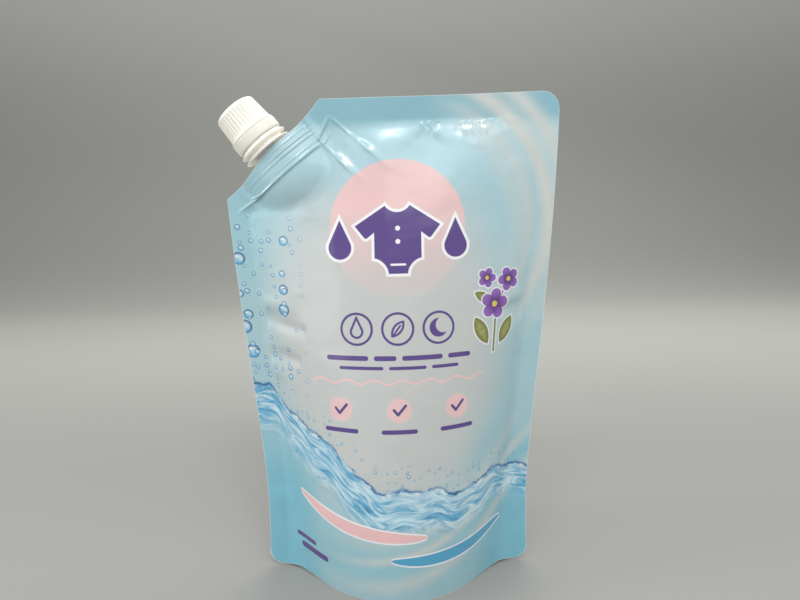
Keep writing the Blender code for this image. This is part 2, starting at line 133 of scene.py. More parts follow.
BAND_DROP = 0.28 * MM
CAP_BOTTOM = BAND_TOP + 0.6 * MM
CAP_RADIUS = 12.6 * MM
CAP_TAPER = 0.9 * MM
CAP_TOP = CAP_BOTTOM + 16 * MM
CAP_RIM_HEIGHT = 1.1 * MM
CAP_DOME = 2.6 * MM
DOME_REACH = 4.4 * MM
CROWN_TRIM = 0.1 * MM
CAP_WALL = 1.2 * MM
CAP_CEILING = CAP_TOP - 1.4 * MM
NECK_TOP = CAP_CEILING - 0.3 * MM
FLUTE_COUNT = 36
FLUTE_DEPTH = 0.5 * MM
PLUG_DEPTH = 2.6 * MM
THREAD_LEAD = 5.6 * MM
THREAD_STARTS = 2
THREAD_ROOT = 0.55 * MM
THREAD_CREST = 0.22 * MM

# Mesh density
COLUMN_STEP = 0.85 * MM
SKIRT_ROWS = 8
MIDDLE_ROWS = 124
MARGIN_DEPTH = 30 * MM
MARGIN_ROWS = 50
GUSSET_ROWS = 12
BULGE_STEPS = 48
TURN_STEPS = 120
THREAD_STEPS = 48
THREAD_RUN_OUT = 8

# Soft creases in the filled film: start and end as (u, v), half width and height, in mm
FRONT_CREASES = [
    ((-39, 255), (-8, 226), 1.4, 1.1), ((-32, 266), (4, 236), 1.5, 1.2),
    ((-37, 261), (-6, 234), 2.2, -0.7), ((-56, 240), (-44, 208), 3.0, 0.5),
    ((-72, 221), (-68, 196), 2.2, 0.5), ((-84, 158), (-50, 155), 4.0, -1.3),
    ((-80, 166), (-52, 163), 3.2, 0.7), ((-82, 136), (-54, 133), 3.6, -1.1),
    ((-80, 127), (-58, 125), 3.0, 0.6), ((84, 160), (56, 156), 4.2, -1.2),
    ((82, 169), (60, 164), 3.0, 0.6), ((82, 246), (58, 232), 3.0, 0.7),
    ((22, 264), (29, 252), 1.3, 0.7), ((19, 265), (14, 250), 1.6, -0.7),
    ((40, 265), (42, 254), 1.5, 0.4), ((47, 265), (49, 252), 1.5, -0.4),
    ((54, 265), (57, 253), 1.6, 0.4), ((-18, 265), (-14, 248), 2.4, -0.4),
]
BACK_CREASES = [
    ((-38, 256), (-12, 226), 1.8, 0.9), ((-34, 264), (0, 236), 2.2, -0.7),
    ((-82, 150), (-52, 147), 4.0, -1.2), ((84, 172), (54, 167), 4.2, -1.2),
    ((82, 182), (58, 178), 3.0, 0.6), ((82, 128), (60, 124), 3.4, -0.9),
    ((10, 265), (12, 250), 1.8, -0.7), ((36, 265), (38, 252), 1.6, 0.6),
    ((58, 265), (62, 252), 1.8, -0.5), ((-14, 265), (-12, 250), 2.0, 0.4),
]
SEAL_CRESCENTS = [
    ((-32.5, 266.5), (-39, 254), 0.8, 0.55), ((-83.5, 217), (-73, 223), 0.8, 0.55),
    ((-76, 223.5), (-69.5, 226.5), 0.7, 0.5),
]

# Sharp folds drawn as relief in the front film's skin, in the same terms
SHARP_FOLDS = [
    ((16.5, 262.0), (20.6, 256.4), 1.1, 0.35), ((20.6, 262.6), (24.8, 255.6), 1.1, 0.40),
    ((26.4, 262.2), (20.4, 254.6), 0.9, -0.30), ((38.6, 262.0), (41.6, 253.2), 1.3, 0.35),
    ((42.6, 262.4), (45.4, 251.6), 1.2, 0.40), ((46.6, 262.0), (48.6, 252.4), 1.3, 0.40),
    ((50.4, 262.4), (51.6, 254.0), 1.2, 0.35), ((54.2, 262.8), (53.6, 257.0), 1.1, 0.30),
    ((-39.5, 256.5), (-16.0, 232.0), 0.9, 0.40), ((-31.0, 266.0), (-2.0, 240.0), 0.9, 0.45),
    ((-73.4, 223.4), (-84.6, 217.0), 0.55, 0.50), ((-69.6, 226.2), (-77.0, 223.6), 0.5, 0.45),
    ((-38.6, 254.2), (-32.4, 266.4), 0.55, 0.50), ((-35.4, 252.6), (-30.6, 260.0), 0.6, 0.40),
    ((-49.0, 151.0), (-72.0, 155.0), 3.4, -0.80), ((-53.0, 134.0), (-74.0, 138.0), 3.4, -0.80),
    ((60.0, 158.0), (78.0, 166.0), 3.0, -0.60),
]

# Crumpled spots in the film: middle and half size as (u, v), and height, in mm
CRUMPLES = [
    ((22.5, 258.0), (5.0, 4.0), 1.5), ((45.0, 257.0), (8.0, 5.0), 1.9),
    ((60.0, 261.6), (5.0, 2.4), 1.2),
]

# Ribs pressed into the film by the spout's base: depth below its edge, width and height, in mm
WELD_RIBS = [(5.2, 0.42, 1.0), (7.4, 0.42, 1.0), (2.4, 0.5, 0.6), (11.6, 0.5, 0.6)]

# Camera, from the photograph's view
LENS = 27
CAMERA_PLACE = Vector((1.056, -332.339, 230.228)) * MM
CAMERA_YAW = math.radians(0.452)
CAMERA_PITCH = math.radians(11.125)
CAMERA_ROLL = math.radians(-1.094)

# Studio: each lamp's place, size and power, all aimed at one point, and the backdrop's form
LAMP_AIM = (0, 0, 0.14)
LAMPS = [
    ("key_lamp", (0.45, -0.8, 1.05), (1.5, 0.9), 5.2),
    ("fill_lamp", (-1.1, -0.9, 0.5), (1.2, 1.0), 4.0),
    ("top_lamp", (0.1, 0.4, 1.2), (0.8, 0.5), 3.4),
    ("back_lamp", (0.25, 0.95, 0.9), (1.0, 0.5), 3.0),
    ("tube_lamp", (0.14, -0.78, 1.16), (0.42, 0.09), 4.6),
    ("spark_lamp", (-0.22, -0.6, 1.2), (0.18, 0.08), 1.4),
    ("left_strip", (-1.0, -0.14, 0.5), (0.2, 0.3), 2.6),
    ("right_strip", (0.95, 0.3, 0.5), (0.2, 0.3), 0.9),
]
WORLD_COLOUR = (1.0, 0.985, 0.955, 1)
WORLD_STRENGTH = 0.56
SWEEP_FRONT = -1.2
SWEEP_BACK = 0.8
SWEEP_BEND = 0.5
SWEEP_STEPS = 12
SWEEP_HEIGHT = 2.2
SWEEP_HALF = 2.6


# Shader maths


class Signal:
    """A socket in a material, so that shader maths reads as Python."""

    def __init__(self, paint, socket):
        self.paint = paint
        self.socket = socket

    def __add__(self, other):
        return self.paint.math("ADD", self, other)

    def __radd__(self, other):
        return self.paint.math("ADD", other, self)

    def __sub__(self, other):
        return self.paint.math("SUBTRACT", self, other)

    def __rsub__(self, other):
        return self.paint.math("SUBTRACT", other, self)

    def __mul__(self, other):
        return self.paint.math("MULTIPLY", self, other)

    def __rmul__(self, other):
        return self.paint.math("MULTIPLY", other, self)

    def __truediv__(self, other):
        return self.paint.math("DIVIDE", self, other)

    def __abs__(self):
        return self.paint.math("ABSOLUTE", self)


class Paint:
    """A material with its Principled shader, and the one place where its nodes are made."""

    def __init__(self, name, roughness):
        self.material = bpy.data.materials.new(name)
        self.material.use_nodes = True
        self.nodes = self.material.node_tree.nodes
        self.links = self.material.node_tree.links
        self.shader = self.nodes["Principled BSDF"]
        self.shader.inputs["Roughness"].default_value = roughness

    def node(self, kind, settings, sockets):
        """A node of this kind: its settings first, then the values or links it takes."""
        made = self.nodes.new(kind)
        for name, value in settings.items():
            if name == "stops":
                ramp = made.color_ramp.elements
                ramp[0].position, ramp[0].color = value[0]
                ramp[1].position, ramp[1].color = value[-1]
                for place, colour in value[1:-1]:
                    ramp.new(place).color = colour
            else:
                setattr(made, name, value)
        for key, value in sockets.items():
            self.feed(made.inputs[key], value)
        return made

    def feed(self, socket, value):
        if isinstance(value, Signal):
            self.links.new(value.socket, socket)
        else:
            socket.default_value = value

    def signal(self, kind, settings, sockets, output=0):
        return Signal(self, self.node(kind, settings, sockets).outputs[output])

    def math(self, operation, *values, clamp=False):
        settings = {"operation": operation, "use_clamp": clamp}
        return self.signal("ShaderNodeMath", settings, dict(enumerate(values)))

    def mix(self, share, first, second):
        """A colour between two: the first where share is 0, the second where it is 1."""
        sockets = {0: share, 6: colour_of(first), 7: colour_of(second)}
        return self.signal("ShaderNodeMix", {"data_type": "RGBA"}, sockets, 2)

    def object_place(self):
        return self.signal("ShaderNodeTexCoord", {}, {}, "Object")

    def parts(self, vector):
        """The three components of a vector."""
        outputs = self.node("ShaderNodeSeparateXYZ", {}, {0: vector}).outputs
        return [Signal(self, output) for output in outputs]

    def vector(self, x, y, z=0.0):
        return self.signal("ShaderNodeCombineXYZ", {}, {0: x, 1: y, 2: z})

    def noise(self, vector, scale, detail=2.0, roughness=0.5, distortion=0.0):
        sockets = {"Vector": vector, "Scale": scale, "Detail": detail,
                   "Roughness": roughness, "Distortion": distortion}
        return self.signal("ShaderNodeTexNoise", {}, sockets)

    def ease(self, value, start, end):
        """0 at start, 1 at end, and a smooth step between them."""
        sockets = {"Value": value, "From Min": start, "From Max": end}
        return self.signal("ShaderNodeMapRange", {"interpolation_type": "SMOOTHSTEP"}, sockets)

    def bell(self, value, middle, width):
        """1 at the middle, falling away smoothly on both sides."""
        away = (value - middle) / width
        return self.math("EXPONENT", away * away * -1.0)

    def bells(self, value, rows):
        """Several bells added up, each row giving a middle, a width and a height."""
        return sum(self.bell(value, middle, width) * height for middle, width, height in rows)

    def fill(self, distance, soft=0.3):
        """1 inside a shape and 0 outside, from the signed distance to its edge."""
        return self.math("MULTIPLY_ADD", distance, -1 / soft, 0.5, clamp=True)

    def draw(self, colour, shape, ink, share=1.0, soft=0.3):
        """A colour with ink laid over it inside a shape."""
        return self.mix(self.fill(shape, soft) * share, colour, ink)

    def set(self, socket, value):
        self.feed(self.shader.inputs[socket], value)

    def bump(self, height, strength, distance):
        sockets = {"Height": height, "Strength": strength, "Distance": distance}
        self.set("Normal", self.signal("ShaderNodeBump", {}, sockets))


def colour_of(value):
    return value if isinstance(value, Signal) else (*value, 1.0)


def srgb(red, green, blue):
    """A colour from its screen values, 0 to 255."""
    shares = [value / 255 for value in (red, green, blue)]
    return tuple(s / 12.92 if s < 0.04045 else ((s + 0.055) / 1.055) ** 2.4 for s in shares)


def least(first, second):
    return first.paint.math("MINIMUM", first, second)


def most(first, second):
    return first.paint.math("MAXIMUM", first, second)


def union(*shapes):
    return functools.reduce(least, shapes)


def root(value):
    return value.paint.math("SQRT", value)


def reach(x, y):
    return root(x * x + y * y)


def circle(x, y, place, radius):
    return reach(x - place[0], y - place[1]) - radius


def rounded_box(x, y, place, half, corner):
    across = abs(x - place[0]) - (half[0] - corner)
    up = abs(y - place[1]) - (half[1] - corner)
    outside = reach(most(across, 0.0), most(up, 0.0))
    return outside + least(most(across, up), 0.0) - corner


def by_line(x, y, start, end):
    """Share of the way along a line, distance beside it and its length."""
    run = (end[0] - start[0], end[1] - start[1])
    length = math.hypot(*run)
    from_x, from_y = x - start[0], y - start[1]
    share = (from_x * run[0] + from_y * run[1]) / length**2
    return share, (from_y * run[0] - from_x * run[1]) / length, length


def bar(x, y, start, end, half):
    """A stroke with round ends between two points."""
    share, across, length = by_line(x, y, start, end)
    past = (share - least(most(share, 0.0), 1.0)) * length
    return reach(past, across) - half


def turned_about(x, y, place, degrees):
    """Coordinates in a frame at a place, turned by an angle."""
    c, s = math.cos(math.radians(degrees)), math.sin(math.radians(degrees))
    from_x, from_y = x - place[0], y - place[1]
    return from_x * c + from_y * s, from_y * c - from_x * s


def drop_shape(x, y, place, radius):
    """A water drop: a circle with the two straight sides that meet at its tip."""
    rise = 0.42
    side = abs(x - place[0]) * math.sqrt(1 - rise * rise) + (y - place[1]) * rise - radius
    cone = most(side, (place[1] + radius * rise) - y)
    return least(circle(x, y, place, radius), cone)


def leaf_shape(x, y, place, length, degrees):
    """A pointed leaf: where two equal circles overlap."""
    along, across = turned_about(x, y, place, degrees)
    radius = length * 0.68
    return reach(along, abs(across) + radius * 0.68) - radius


# Printed film

CYAN = srgb(122, 184, 202)
EDGE_CYAN = srgb(160, 194, 202)
TOP_CYAN_AND_SHEEN = srgb(168, 202, 212)
SEAL_CYAN_AND_SHADE = srgb(128, 176, 190)
CENTRE_WHITE = srgb(187, 191, 190)
STREAK_WHITE = srgb(199, 202, 197)
PINK = srgb(226, 186, 186)
PURPLE = srgb(86, 66, 130)
INK_WHITE = srgb(230, 231, 234)
WATER_DEEP = srgb(10, 88, 142)
WATER_MIDDLE = srgb(80, 160, 198)
WATER_PALE = srgb(196, 221, 229)
BLOSSOM = srgb(140, 98, 176)
BLOSSOM_DARK = srgb(76, 46, 112)
STAMEN = srgb(214, 190, 96)
LEAF = srgb(112, 118, 58)
LEAF_LIGHT = srgb(186, 188, 122)
CUT_EDGE = srgb(214, 226, 230)

# Pale arcs in the ground, about two centres: radius, width and strength
HALO_STREAKS = [(84.0, 4.6, 0.9), (73.0, 3.4, 0.45), (66.0, 6.0, 0.35), (95.0, 4.5, 0.8)]
LOW_STREAKS = [(152.0, 3.0, 0.8), (139.0, 7.0, 0.64), (168.0, 5.0, 0.64)]

# Blossoms: middle, size and turn in degrees
BLOSSOMS = [((57.0, 164.0), 8.4, 8), ((65.5, 177.0), 6.6, 40), ((52.0, 178.5), 5.4, 70)]

# Ribbons, as arcs: centre, radius, middle across, half length, half width and ink
RIBBONS = [
    ((18.0, 262.0), 222.0, -24.0, 40.0, 3.6, PINK),
    ((18.0, 262.0), 236.0, 34.0, 38.0, 3.6, WATER_MIDDLE),
]


def ground_colour(paint, u, v):
    """Pale cyan along the edges, white-grey in the middle, with soft pale streaks; below the top seal
    a paler band that is partly print and partly painted sheen, and on the seal a darker band that is
    partly print and partly painted shade.
    """
    across, up = (u + 6.0) / 84.0, (v - 142.0) / 118.0
    centre = 1.0 - paint.ease(across * across + up * up, 0.25, 1.0)
    feet = paint.ease(v, 118.0, 44.0) * paint.ease(abs(u), 34.0, 66.0)
    low = paint.ease(v, 74.0, 34.0) * 0.5 * (1.0 - paint.ease(v, 22.0, 2.0) * 0.7)
    ground = paint.mix(centre, EDGE_CYAN, CENTRE_WHITE)
    # Paler band below the top seal: partly the print, partly painted sheen from the lamps above
    ground = paint.mix(paint.ease(v, 218.0, 246.0), ground, TOP_CYAN_AND_SHEEN)
    # Darker seal band along the top: partly the print, partly painted shade
    ground = paint.mix(paint.ease(v, 258.0, 266.0) * 0.9, ground, SEAL_CYAN_AND_SHADE)
    corner = paint.ease(u, -58.0, -84.0) * paint.ease(v, 150.0, 235.0)
    ground = paint.mix(corner * 0.35, ground, CYAN)
    ground = paint.mix(most(feet, low), ground, CYAN)
    halo = paint.bells(reach(u - 4.0, v - 204.0), HALO_STREAKS)
    halo = halo * paint.ease(u, 14.0, 52.0) * paint.ease(v, 128.0, 190.0)
    ground = paint.mix(halo, ground, STREAK_WHITE)
    low_arcs = paint.bells(reach(u + 34.0, v - 176.0), LOW_STREAKS)
    low_arcs = low_arcs * paint.ease(u, -60.0, 10.0) * paint.ease(v, 120.0, 60.0)
    return paint.mix(low_arcs, ground, STREAK_WHITE)


def water_top(paint, u):
    """Height of the water's surface: low at the right, swelling up to the left edge."""
    swell = paint.ease(u, 10.0, -95.0)
    ripple = paint.math("SINE", u * 0.125) * 2.6 + paint.math("SINE", u * 0.31 + 1.0) * 1.1
    return swell * 52.0 + ripple + 66.0


def add_water(paint, u, v, colour):
    """A band of moving water with darker streaks, a foaming crest and thrown drops."""
    below = water_top(paint, u) - v
    flow = paint.vector(u * 0.02 + below * 0.004, below * 0.075)
    streak = paint.noise(flow, 2.6, 5.0, 0.62, 1.4)
    ragged = paint.noise(paint.vector(u * 0.11, v * 0.11), 1.0, 4.0, 0.65) - 0.5
    edge = below + ragged * 7.0
    thickness = paint.ease(u, 95.0, -60.0) * 12.0 + 24.0
    body = paint.ease(edge, 0.0, 0.8) * paint.ease(below, thickness, thickness * 0.55)
    tint = paint.mix(paint.ease(streak, 0.36, 0.62), WATER_PALE, WATER_MIDDLE)
    tint = paint.mix(paint.ease(streak, 0.58, 0.74) * 0.85, tint, WATER_DEEP)
    colour = paint.mix(body * 0.92, colour, tint)
    crest = paint.bell(edge, 1.1, 0.9) * paint.ease(streak, 0.3, 0.55)
    colour = paint.mix(crest * 0.9, colour, WATER_DEEP)
    foam = paint.bell(edge, 3.0, 1.4) * paint.ease(ragged, -0.05, 0.15)
    return paint.mix(foam * 0.75, colour, INK_WHITE)


def add_drops(paint, u, v, colour, size, zone, threshold):
    """Round drops scattered over a zone, each darker at its rim and bright inside."""
    place = paint.vector(u / size, v / size)
    cells = paint.node("ShaderNodeTexVoronoi", {"voronoi_dimensions": "2D"},
                       {"Vector": place, "Scale": 1.0, "Randomness": 0.85})
    away = Signal(paint, cells.outputs["Distance"])
    hue = paint.node("ShaderNodeSeparateColor", {}, {"Color": Signal(paint, cells.outputs["Color"])})
    chance, share = Signal(paint, hue.outputs[0]), Signal(paint, hue.outputs[1])
    radius = share * 0.17 + 0.13
    inside = paint.fill((away - radius) * size) * paint.ease(chance, threshold, threshold + 0.02)
    centre = paint.parts(Signal(paint, cells.outputs["Position"]))
    off_u, off_v = u / size - centre[0], v / size - centre[1]
    depth = away / radius
    tint = paint.mix(paint.ease(depth, 0.35, 1.0), WATER_PALE, WATER_DEEP)
    tint = paint.mix(paint.ease(off_v / radius + off_u / radius, 0.7, -0.6) * 0.6, tint, WATER_MIDDLE)
    spark = paint.fill((reach(off_u / radius + 0.3, off_v / radius - 0.38) - 0.2) * size * 0.2)
    tint = paint.mix(spark, tint, INK_WHITE)
    return paint.mix(inside * zone, colour, tint)


def add_emblem(paint, u, v, colour):
    """A pink disc that fades downwards, with a plain baby's bodysuit and two water drops."""
    disc = circle(u, v, (3.0, 207.0), 36.5)
    colour = paint.draw(colour, disc, PINK, paint.ease(v, 168.0, 226.0) * 0.74 + 0.14, 0.5)
    x, y = abs(u - 3.0), v - 203.0
    suit = rounded_box(x, y, (0.0, -1.0), (12.5, 19.0), 3.0)
    sleeve_along, sleeve_across = turned_about(x, y, (13.5, 9.0), -38)
    suit = least(suit, rounded_box(sleeve_along, sleeve_across, (0.0, 0.0), (9.5, 6.2), 1.2))
    suit = most(suit, x * 0.548 + y * 0.836 - 17.0)
    suit = most(suit, 0.0 - circle(x, y, (0.0, 20.5), 8.0))
    suit = most(suit, 0.0 - circle(x, y, (14.5, -21.0), 9.5))
    shape = least(suit, drop_shape(x, y, (31.0, -6.0), 6.2))
    colour = paint.draw(colour, shape - 1.5, INK_WHITE)
    colour = paint.draw(colour, shape, PURPLE)
    upper, lower = circle(x, y, (0.0, 4.0), 1.3), circle(x, y, (0.0, -3.0), 1.3)
    hem = bar(x, y, (0.0, -15.2), (3.6, -15.2), 0.55)
    return paint.draw(colour, union(upper, lower, hem), INK_WHITE)


def add_bars(paint, u, v, colour, ink, height, half, spans):
    """A row of plain round-ended bars, as wide as a line of print would be."""
    row = [bar(u, v, (start + half, height), (end - half, height), half) for start, end in spans]
    return paint.draw(colour, union(*row), ink)


def add_lines(paint, u, v, colour):
    """Three line icons, two rows of thin bars and a pink wavy rule in the middle."""
    y = v - 154.0
    rings = union(*(abs(circle(u, y, (place, 0.0), 8.2)) - 0.65 for place in (-20.0, 2.0, 24.0)))
    drop = abs(drop_shape(u, y, (-20.0, -1.4), 3.1)) - 0.6
    leaf = abs(leaf_shape(u, y, (2.0, 0.0), 9.6, 52)) - 0.6
    leaf = least(leaf, bar(u, y, (-0.4, -3.4), (3.4, 1.8), 0.5))
    moon = most(circle(u, y, (24.0, 0.0), 5.0), 0.0 - circle(u, y, (26.6, 1.4), 4.2))
    colour = paint.draw(colour, union(rings, drop, leaf, moon), PURPLE)
    spans = ((-37, -14), (-11, 1), (4, 26), (29, 42))
    colour = add_bars(paint, u, v, colour, PURPLE, 138.6, 1.3, spans)
    colour = add_bars(paint, u, v, colour, PURPLE, 133.4, 0.9, ((-30, -6), (-3, 17), (20, 35)))
    wave = abs(v - 126.0 - paint.math("SINE", u * 0.42) * 1.2) - 0.5
    wave = most(wave, abs(u - 2.0) - 48.0)
    return paint.draw(colour, wave, PINK)


def add_ticks(paint, u, v, colour):
    """Three pink discs in a row, each with a purple tick and a short bar under it."""
    column = paint.math("ROUND", (u - 2.0) / 32.0)
    column = least(most(column, -1.0), 1.0)
    x = u - 2.0 - column * 32.0
    disc = circle(x, v, (0.0, 111.0), 6.6)
    colour = paint.draw(colour, disc, PINK, 0.8)
    short = bar(x, v, (-2.9, 111.4), (-0.7, 108.8), 0.75)
    long = bar(x, v, (-0.7, 108.8), (3.4, 113.6), 0.75)
    label = bar(x, v, (-8.5, 99.6), (8.5, 99.6), 1.2)
    return paint.draw(colour, union(short, long, label), PURPLE)


def add_blossoms(paint, u, v, colour):
    """Three round blossoms with five petals each, on a stem with pointed leaves."""
    plants = union(
        leaf_shape(u, v, (49.0, 150.0), 17.0, 118), leaf_shape(u, v, (65.0, 149.0), 16.0, 62),
        leaf_shape(u, v, (50.0, 168.0), 12.0, 150), bar(u, v, (57.0, 138.0), (58.0, 162.0), 0.55),
        bar(u, v, (58.0, 160.0), (65.0, 178.0), 0.45),
    )
    grain = paint.noise(paint.vector(u * 0.5, v * 0.5), 1.0, 4.0, 0.6)
    colour = paint.draw(colour, plants - 0.9, INK_WHITE, 0.6)
    colour = paint.draw(colour, plants, LEAF)
    colour = paint.draw(colour, plants + 1.5, LEAF_LIGHT, grain * 0.8, 2.4)
    for place, size, degrees in BLOSSOMS:
        x, y = turned_about(u, v, place, degrees)
        angle = paint.math("ARCTAN2", y, x)
        lobe = abs(paint.math("COSINE", angle * 2.5))
        away = reach(x, y)
        petals = away - (paint.math("POWER", lobe, 0.6) * 0.42 + 0.58) * size
        tint = paint.mix(paint.ease(away / size + grain * 0.5, 0.25, 1.15), BLOSSOM_DARK, BLOSSOM)
        tint = paint.mix(paint.ease(lobe, 0.3, 0.02) * 0.7, tint, BLOSSOM_DARK)
        colour = paint.draw(colour, petals - 0.8, INK_WHITE, 0.8)
        colour = paint.draw(colour, petals, tint)
        colour = paint.draw(colour, away - size * 0.2, STAMEN)
    return colour


def add_ribbons(paint, u, v, colour):
    """Two curved ribbons with white outlines, tapering to their ends."""
    for centre, radius, middle, length, half, ink in RIBBONS:
        share = (u - middle) / length
        shape = abs(circle(u, v, centre, radius)) - root(most(1.0 - share * share, 0.0)) * half
        inside = paint.fill(abs(u - middle) - length)
        colour = paint.draw(colour, shape - 0.9, INK_WHITE, inside)
        colour = paint.draw(colour, shape, ink, inside)
    return colour


def film_material():
    """Glossy laminated film with its print, plain on the back and in the base."""
    paint = Paint("printed_film", 0.3)
    film = paint.signal("ShaderNodeAttribute", {"attribute_name": "film"}, {}, "Vector")
    u, v, side = paint.parts(film)
    edge = paint.signal("ShaderNodeAttribute", {"attribute_name": "edge"}, {}, "Fac")
    ground = ground_colour(paint, u, v)
    colour = add_water(paint, u, v, ground)
    left = paint.ease(u, -52.0, -60.0) * paint.ease(v, 112.0, 126.0) * paint.ease(v, 214.0, 200.0)
    colour = add_drops(paint, u, v, colour, 14.0, left, 0.35)
    beside = paint.ease(u, -42.0, -62.0) * paint.ease(v, 104.0, 122.0) * paint.ease(v, 222.0, 205.0)
    colour = add_drops(paint, u, v, colour, 6.0, beside, 0.55)
    above = v - water_top(paint, u)
    splash = paint.ease(above, -1.0, 2.0) * paint.ease(above, 17.0, 9.0)
    colour = add_drops(paint, u, v, colour, 3.6, splash, 0.62)
    colour = add_emblem(paint, u, v, colour)
    colour = add_lines(paint, u, v, colour)
    colour = add_ticks(paint, u, v, colour)
    colour = add_blossoms(paint, u, v, colour)
    colour = add_ribbons(paint, u, v, colour)
    colour = add_bars(paint, u, v, colour, PURPLE, 24.0, 1.5, ((-72, -54),))
    colour = add_bars(paint, u, v, colour, PURPLE, 18.0, 2.0, ((-68, -44),))
    colour = paint.mix(paint.ease(side, -0.4, -0.6), ground, colour)
    colour = paint.mix(paint.ease(edge, 0.3, 0.1) * 0.8, colour, CUT_EDGE)
    paint.set("Base Color", colour)
    paint.set("Roughness", paint.noise(film, 0.35, 3.0) * 0.12 + 0.14)
    paint.bump(film_grain(paint, film, u, v), 1.0, MM)
    paint.shader.inputs["Coat Weight"].default_value = 0.4
    paint.shader.inputs["Coat Roughness"].default_value = 0.06
    return paint.material


def film_grain(paint, film, u, v):
    """Height of the film's fine relief in mm: weld ribs, sharp puckers and slack."""
    x, _, z = paint.parts(paint.object_place())
    away_x, away_z = (x - SPOUT_FOOT.x) / MM, (z - SPOUT_FOOT.z) / MM
    depth = 0.0 - (away_x * SPOUT_AXIS.x + away_z * SPOUT_AXIS.z)
    along = away_x * SPOUT_SIDE.x + away_z * SPOUT_SIDE.z
    ribs = paint.bells(depth, WELD_RIBS) * (paint.ease(along, -12.0, 8.0) * 0.85 + 0.15)
    ribs = ribs * paint.ease(abs(along), 27.0, 22.0)
    rim = paint.bell(depth, 14.2, 0.55) * paint.ease(abs(along), 26.0, 19.0)
    height = ribs * 0.42 + rim * 0.45
    for start, end, half, lift in SHARP_FOLDS:
        share, across, _ = by_line(u, v, start, end)
        fade = paint.ease(share, -0.06, 0.1) * paint.ease(share, 1.0, 0.45)
        height = height + paint.bell(across, 0.0, half) * fade * lift
    crumple = paint.noise(paint.vector(u * 0.27 + v * 0.07, v * 0.13), 1.0, 0.4, 0.4, 0.3) - 0.5
    for middle, half, lift in CRUMPLES:
        spot = paint.bell(u, middle[0], half[0]) * paint.bell(v, middle[1], half[1])
        height = height + spot * lift * crumple
    return height + paint.noise(film, 0.05, 2.0, 0.45) * 0.9 + paint.noise(film, 0.7, 2.0) * 0.012


def plastic_material(name, shade, light):
    """White moulded plastic with a satin skin and a faint warm unevenness."""
    paint = Paint(name, 0.36)
    place = paint.object_place()
    paint.set("Base Color", paint.mix(paint.noise(place, 90.0, 3.0), shade, light))
    paint.set("Roughness", paint.noise(place, 400.0, 3.0) * 0.14 + 0.3)
    paint.bump(paint.noise(place, 1500.0, 3.0), 0.12, 0.0002)
    paint.shader.inputs["Subsurface Weight"].default_value = 0.6
    paint.shader.inputs["Subsurface Radius"].default_value = (1.0, 0.86, 0.7)
    paint.shader.inputs["Subsurface Scale"].default_value = 0.0035
    return paint.material


# Film shape, worked on whole arrays of film places


def smooth(value, start, end):
    """0 before start, 1 after end, and a smooth step between them."""
    share = np.clip((value - start) / (end - start), 0.0, 1.0)
    return share * share * (3 - 2 * share)


def corner_drop(inside):
    """How far a rounded corner falls away, a distance past where its arc begins."""
    past = np.clip(inside, 0.0, CORNER_RADIUS)
    return CORNER_RADIUS - np.sqrt(CORNER_RADIUS**2 - past**2)


def inset_top(u, inset):
    """Height of a line at an even distance inside the top edge and the cut edge."""
    share = (u + HALF_WIDTH) / CUT_ACROSS
    crown = np.exp(-(((u - SPOUT_PLACE) * CUT_SLANT / CUT_CROWN) ** 2))
    bow = 4 * CUT_BOW * share * np.maximum(0.0, 1 - share) * (1 - crown)
    cut = POUCH_HEIGHT - CUT_DOWN * (1 - share) - (bow + inset) * CUT_SLANT
    flat = POUCH_HEIGHT - inset - corner_drop(u - (HALF_WIDTH - CORNER_RADIUS))
    return np.minimum(cut, flat)


def outline_bottom(u):
    return corner_drop(np.abs(u) - (HALF_WIDTH - CORNER_RADIUS))


def seal_height(u):
    """The curved line along which the gusset is sealed to the front and back panels."""
    share = np.minimum(1.0, np.abs(u) / CHAMBER_HALF)
    return SKIRT_HEIGHT + (GUSSET_HEIGHT - SKIRT_HEIGHT) * share**3.5


def crease_height(u):
    """The gusset's middle fold: flat on the floor, rising to its tips at the sides."""
    rise = np.maximum(0.0, np.minimum(CHAMBER_HALF, np.abs(u)) - FLOOR_HALF)
    return GUSSET_HEIGHT * (rise / (CHAMBER_HALF - FLOOR_HALF)) ** 2


def fill_depth(v):
    """Half the chamber's depth at its middle, for a height above the floor."""
    top = POUCH_HEIGHT - TOP_SEAL
    rise = 1 - (1 - np.clip(v / BELLY_HEIGHT, 0.0, 1.0)) ** 2
    low = (BASE_DEPTH + (BELLY_DEPTH - BASE_DEPTH) * rise) / 2
    share = np.clip((v - BELLY_HEIGHT) / (top - BELLY_HEIGHT), 0.0, 1.0)
    return np.where(v < BELLY_HEIGHT, low, BELLY_DEPTH / 2 * (1 - share**1.5))


def chamber_depth(u, v):
    """Half the depth of the filled chamber."""
    behind = CUT_SEAL + CUT_BOW + (v - CUT_MIDDLE.z) * CUT_NORMAL.z
    left = np.maximum(-CHAMBER_HALF, CUT_MIDDLE.x - behind / CUT_NORMAL.x)
    across = (2 * u - left - CHAMBER_HALF) / (CHAMBER_HALF - left)
    flare = 1 + 0.55 * np.exp(-v / (60 * MM))
    return fill_depth(v) * np.maximum(0.0, 1 - across * across) ** flare


def bell(value, middle, width):
    return np.exp(-(((value - middle) / width) ** 2))


def pillow_depth(u, v):
    """Two soft pillows that the seal gathers below the top edge, and the pinch between."""
    below = POUCH_HEIGHT - TOP_SEAL - v
    fade = smooth(below, 0, 3 * MM) * (1 - smooth(below, 14 * MM, 44 * MM))
    pillows = bell(u, -10 * MM, 21 * MM) + bell(u, 45 * MM, 17 * MM)
    relief = 1.2 * MM * fade * (pillows - 0.7 * bell(u, 20 * MM, 6 * MM))
    for middle, half, hang in ((-8 * MM, 27 * MM, 20 * MM), (43 * MM, 23 * MM, 19 * MM)):
        lens = hang * np.sqrt(np.maximum(0.0, 1 - ((u - middle) / half) ** 2)) + 0.5 * MM
        share = np.maximum(0.0, below) / lens
        puff = smooth(share, 0.0, 0.35) * (1 - smooth(share, 0.4, 1.0))
        relief += 0.55 * MM * puff * smooth(lens, 2 * MM, 12 * MM)
    return relief


